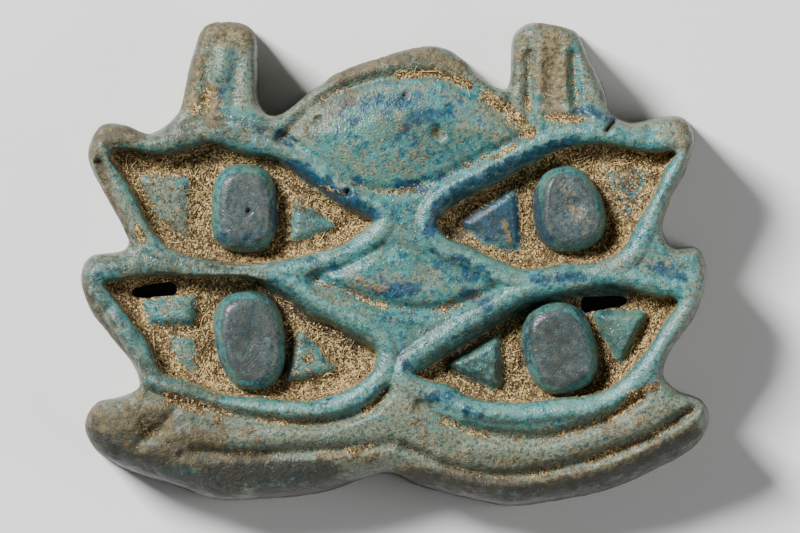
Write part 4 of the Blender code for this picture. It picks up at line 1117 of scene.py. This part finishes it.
# Loose grains of pale desert sand, caught in the beds of the eyes and in the grooves. Each is a
# small eight-sided crystal, stretched and turned its own way, that lies half sunk in the grit.
GRAIN_COUNT = 9000
GRAIN_RADII = (0.038, 0.095)
GRAIN_STRETCH = (0.6, 1.2)
GRAIN_LIFT = 0.02
GRIT_LEAST = 0.55
SAND_SPECULAR = 0.25
SAND_ROUGH = 0.8
draw = np.random.default_rng(4)
front_faces = triangles[: len(face)]
chance = np.clip(grit[front_faces].mean(1) - GRIT_LEAST, 0.0, 0.5)
chosen = draw.choice(len(front_faces), GRAIN_COUNT, p=chance / chance.sum())
share = draw.dirichlet((1.0, 1.0, 1.0), GRAIN_COUNT)
middle = (body[front_faces[chosen]] * share[:, :, None]).sum(1)
OCTAHEDRON = np.array([
    (1.0, 0.0, 0.0), (0.0, 1.0, 0.0), (-1.0, 0.0, 0.0), (0.0, -1.0, 0.0), (0.0, 0.0, 1.0),
    (0.0, 0.0, -1.0),
])
OCTAHEDRON_FACES = np.array([
    (0, 1, 4), (1, 2, 4), (2, 3, 4), (3, 0, 4), (1, 0, 5), (2, 1, 5), (3, 2, 5), (0, 3, 5),
])


def turned(shape, count):
    """Copies of a shape, each turned its own way: a random rotation from a random quaternion."""
    q = draw.normal(size=(count, 4))
    w, x, y, z = (q / np.linalg.norm(q, axis=1, keepdims=True)).T
    spin = np.array([
        [1 - 2 * (y * y + z * z), 2 * (x * y - w * z), 2 * (x * z + w * y)],
        [2 * (x * y + w * z), 1 - 2 * (x * x + z * z), 2 * (y * z - w * x)],
        [2 * (x * z - w * y), 2 * (y * z + w * x), 1 - 2 * (x * x + y * y)],
    ])
    return np.einsum("abn,ncb->nca", spin, shape)


radii = draw.uniform(*GRAIN_RADII, (GRAIN_COUNT, 1, 1))
radii = radii * draw.uniform(*GRAIN_STRETCH, (GRAIN_COUNT, 1, 3))
points = turned(OCTAHEDRON[None] * radii, GRAIN_COUNT) + middle[:, None]
points[..., 2] += GRAIN_LIFT
starts = len(OCTAHEDRON) * np.arange(GRAIN_COUNT)[:, None, None]
tone = np.repeat(draw.uniform(0.0, 1.0, GRAIN_COUNT), len(OCTAHEDRON))
faces = (starts + OCTAHEDRON_FACES).reshape(-1, 3)
sand = make_piece("sand_grains", points.reshape(-1, 3), faces, {"tone": tone})
sand.data.shade_flat()


def desert_sand():
    """Quartz sand from dark brown to cream, each grain in its own tone."""
    material = bpy.data.materials.new("desert sand")
    material.use_nodes = True
    tree = material.node_tree
    shader = tree.nodes["Principled BSDF"]
    own = fit(tree, "ShaderNodeAttribute", attribute_name="tone").outputs["Fac"]
    tree.links.new(tones(tree, own, GRIT_TONES), shader.inputs["Base Color"])
    shader.inputs["Roughness"].default_value = SAND_ROUGH
    shader.inputs["Specular IOR Level"].default_value = SAND_SPECULAR
    return material


sand.data.materials.append(desert_sand())
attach(sand, "root")

# Fine straw and root fibres, dried down onto the grit. Each is a thin round thread carried along a
# path that bends a little at every step and follows the surface under it.
FIBRE_COUNT = 300
FIBRE_STEPS = 9
FIBRE_SIDES = 5
FIBRE_RADII = (0.016, 0.032)
FIBRE_LENGTHS = (0.5, 1.7)
FIBRE_CLIMB = 0.5
FIBRE_BEND = 0.9
FIBRE_KINK = 0.5
FIBRE_LIFT = 0.05
FIBRE_CURL = 0.22
FIBRE_TAPER = 0.95
FIBRE_TONES = (0.70, 0.95)
centre = body[front_faces].mean(1)[:, :2]
for ring in slot_rings:
    chance = chance * (way_to(centre, ring, FIBRE_LENGTHS[1])[0] == FIBRE_LENGTHS[1])
rooted = draw.choice(len(front_faces), FIBRE_COUNT, p=chance / chance.sum())
length = draw.uniform(*FIBRE_LENGTHS, (FIBRE_COUNT, 1))
bend = draw.normal(0.0, FIBRE_BEND, (FIBRE_COUNT, 1))
bend = bend + draw.normal(0.0, FIBRE_KINK, (FIBRE_COUNT, FIBRE_STEPS))
heading = draw.uniform(0.0, 2 * math.pi, (FIBRE_COUNT, 1)) + np.cumsum(bend, axis=1) / FIBRE_STEPS
run = np.stack([np.cos(heading), np.sin(heading)], axis=-1) * (length / FIBRE_STEPS)[..., None]
path = centre[rooted][:, None] + np.cumsum(run, axis=1) - run.sum(1, keepdims=True) / 2
ground = relief(path.reshape(-1, 2))[0].reshape(FIBRE_COUNT, FIBRE_STEPS)
lying = np.ptp(ground, axis=1) < FIBRE_CLIMB
path, heading, ground = path[lying], heading[lying], ground[lying]
count = len(path)
along = np.linspace(-1.0, 1.0, FIBRE_STEPS)
lie = ground + FIBRE_LIFT + draw.uniform(0.0, FIBRE_CURL, (count, 1)) * along**2
radius = draw.uniform(*FIBRE_RADII, (count, 1)) * np.sqrt(1.0 - (FIBRE_TAPER * along) ** 2)
turn = np.linspace(0.0, 2 * math.pi, FIBRE_SIDES, endpoint=False)
across = np.stack([-np.sin(heading), np.cos(heading)], axis=-1)
ring = across[:, :, None] * (radius[..., None] * np.cos(turn))[..., None] + path[:, :, None]
rise = (radius[..., None] * np.sin(turn)) + lie[..., None]
threads = np.concatenate([ring, rise[..., None]], axis=-1).reshape(-1, 3)
number = np.arange(len(threads)).reshape(count, FIBRE_STEPS, FIBRE_SIDES)
after = np.roll(number, -1, axis=2)
skin = np.stack([number[:, :-1], after[:, :-1], after[:, 1:], number[:, 1:]], axis=-1)
skin = skin.reshape(-1, 4)
faces = [skin[:, [0, 1, 2]], skin[:, [0, 2, 3]]]
fans = np.arange(1, FIBRE_SIDES - 1)
for end, flip in ((number[:, 0], 1), (number[:, -1], 0)):
    cap = [end[:, [0] * len(fans)], end[:, fans + flip], end[:, fans + 1 - flip]]
    faces.append(np.stack(cap, axis=-1).reshape(-1, 3))
tone = np.repeat(draw.uniform(*FIBRE_TONES, count), FIBRE_STEPS * FIBRE_SIDES)
fibres = make_piece("dust_fibres", threads, np.vstack(faces), {"tone": tone})
fibres.data.materials.append(sand.data.materials[0])
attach(fibres, "root")

# The table: a wide plain sheet of pale card at the level of the amulet's back. It is only the
# floor of the picture, and no part of the amulet.
TABLE_HALF = 0.6
CARD_WHITE = (0.80, 0.80, 0.79, 1.0)
CARD_ROUGH = 0.8
table_mesh = bpy.data.meshes.new("table")
corners = TABLE_HALF * np.array([(-1, -1, 0), (1, -1, 0), (1, 1, 0), (-1, 1, 0)])
table_mesh.from_pydata(corners.tolist(), [], [(0, 1, 2, 3)])
table = bpy.data.objects.new("table", table_mesh)
bpy.context.scene.collection.objects.link(table)
card = bpy.data.materials.new("pale card")
card.use_nodes = True
card_inputs = card.node_tree.nodes["Principled BSDF"].inputs
card_inputs["Base Color"].default_value = CARD_WHITE
card_inputs["Roughness"].default_value = CARD_ROUGH
table_mesh.materials.append(card)

# The light: one soft window of light high on the upper left, a weak wide one opposite it, and a
# dim grey room.
def window(name, towards, distance, size, power):
    """A square of light that faces the origin from the given direction."""
    lamp = bpy.data.lights.new(name, "AREA")
    lamp.size = size
    lamp.energy = power
    made = bpy.data.objects.new(name, lamp)
    made.location = Vector(towards).normalized() * distance
    made.rotation_euler = Vector(towards).to_track_quat("Z", "Y").to_euler()
    bpy.context.scene.collection.objects.link(made)


ROOM_GREY = (0.5, 0.5, 0.52, 1.0)
ROOM_STRENGTH = 0.15
window("key window", towards=(-0.82, 0.68, 1.0), distance=0.6, size=0.15, power=9.2)
window("fill window", towards=(0.95, -0.16, 0.58), distance=0.8, size=0.50, power=2.9)
room = bpy.data.worlds.new("room")
room.use_nodes = True
room.node_tree.nodes["Background"].inputs["Color"].default_value = ROOM_GREY
room.node_tree.nodes["Background"].inputs["Strength"].default_value = ROOM_STRENGTH
bpy.context.scene.world = room

# The camera looks straight down on the face, with the face's top at the top of the picture. It
# stands far off with a long lens, so that the walls hardly show.
CAMERA_HEIGHT = 1.5
FACE_HEIGHT = 0.004
FIELD_WIDTH = 0.05333
AIM = (0.00032, -0.00017)
SENSOR_WIDTH = 36.0
camera = bpy.data.cameras.new("camera")
camera.sensor_width = SENSOR_WIDTH
camera.lens = SENSOR_WIDTH * (CAMERA_HEIGHT - FACE_HEIGHT) / FIELD_WIDTH
camera.clip_start = 0.01
viewer = bpy.data.objects.new("camera", camera)
viewer.location = (*AIM, CAMERA_HEIGHT)
bpy.context.scene.collection.objects.link(viewer)
bpy.context.scene.camera = viewer
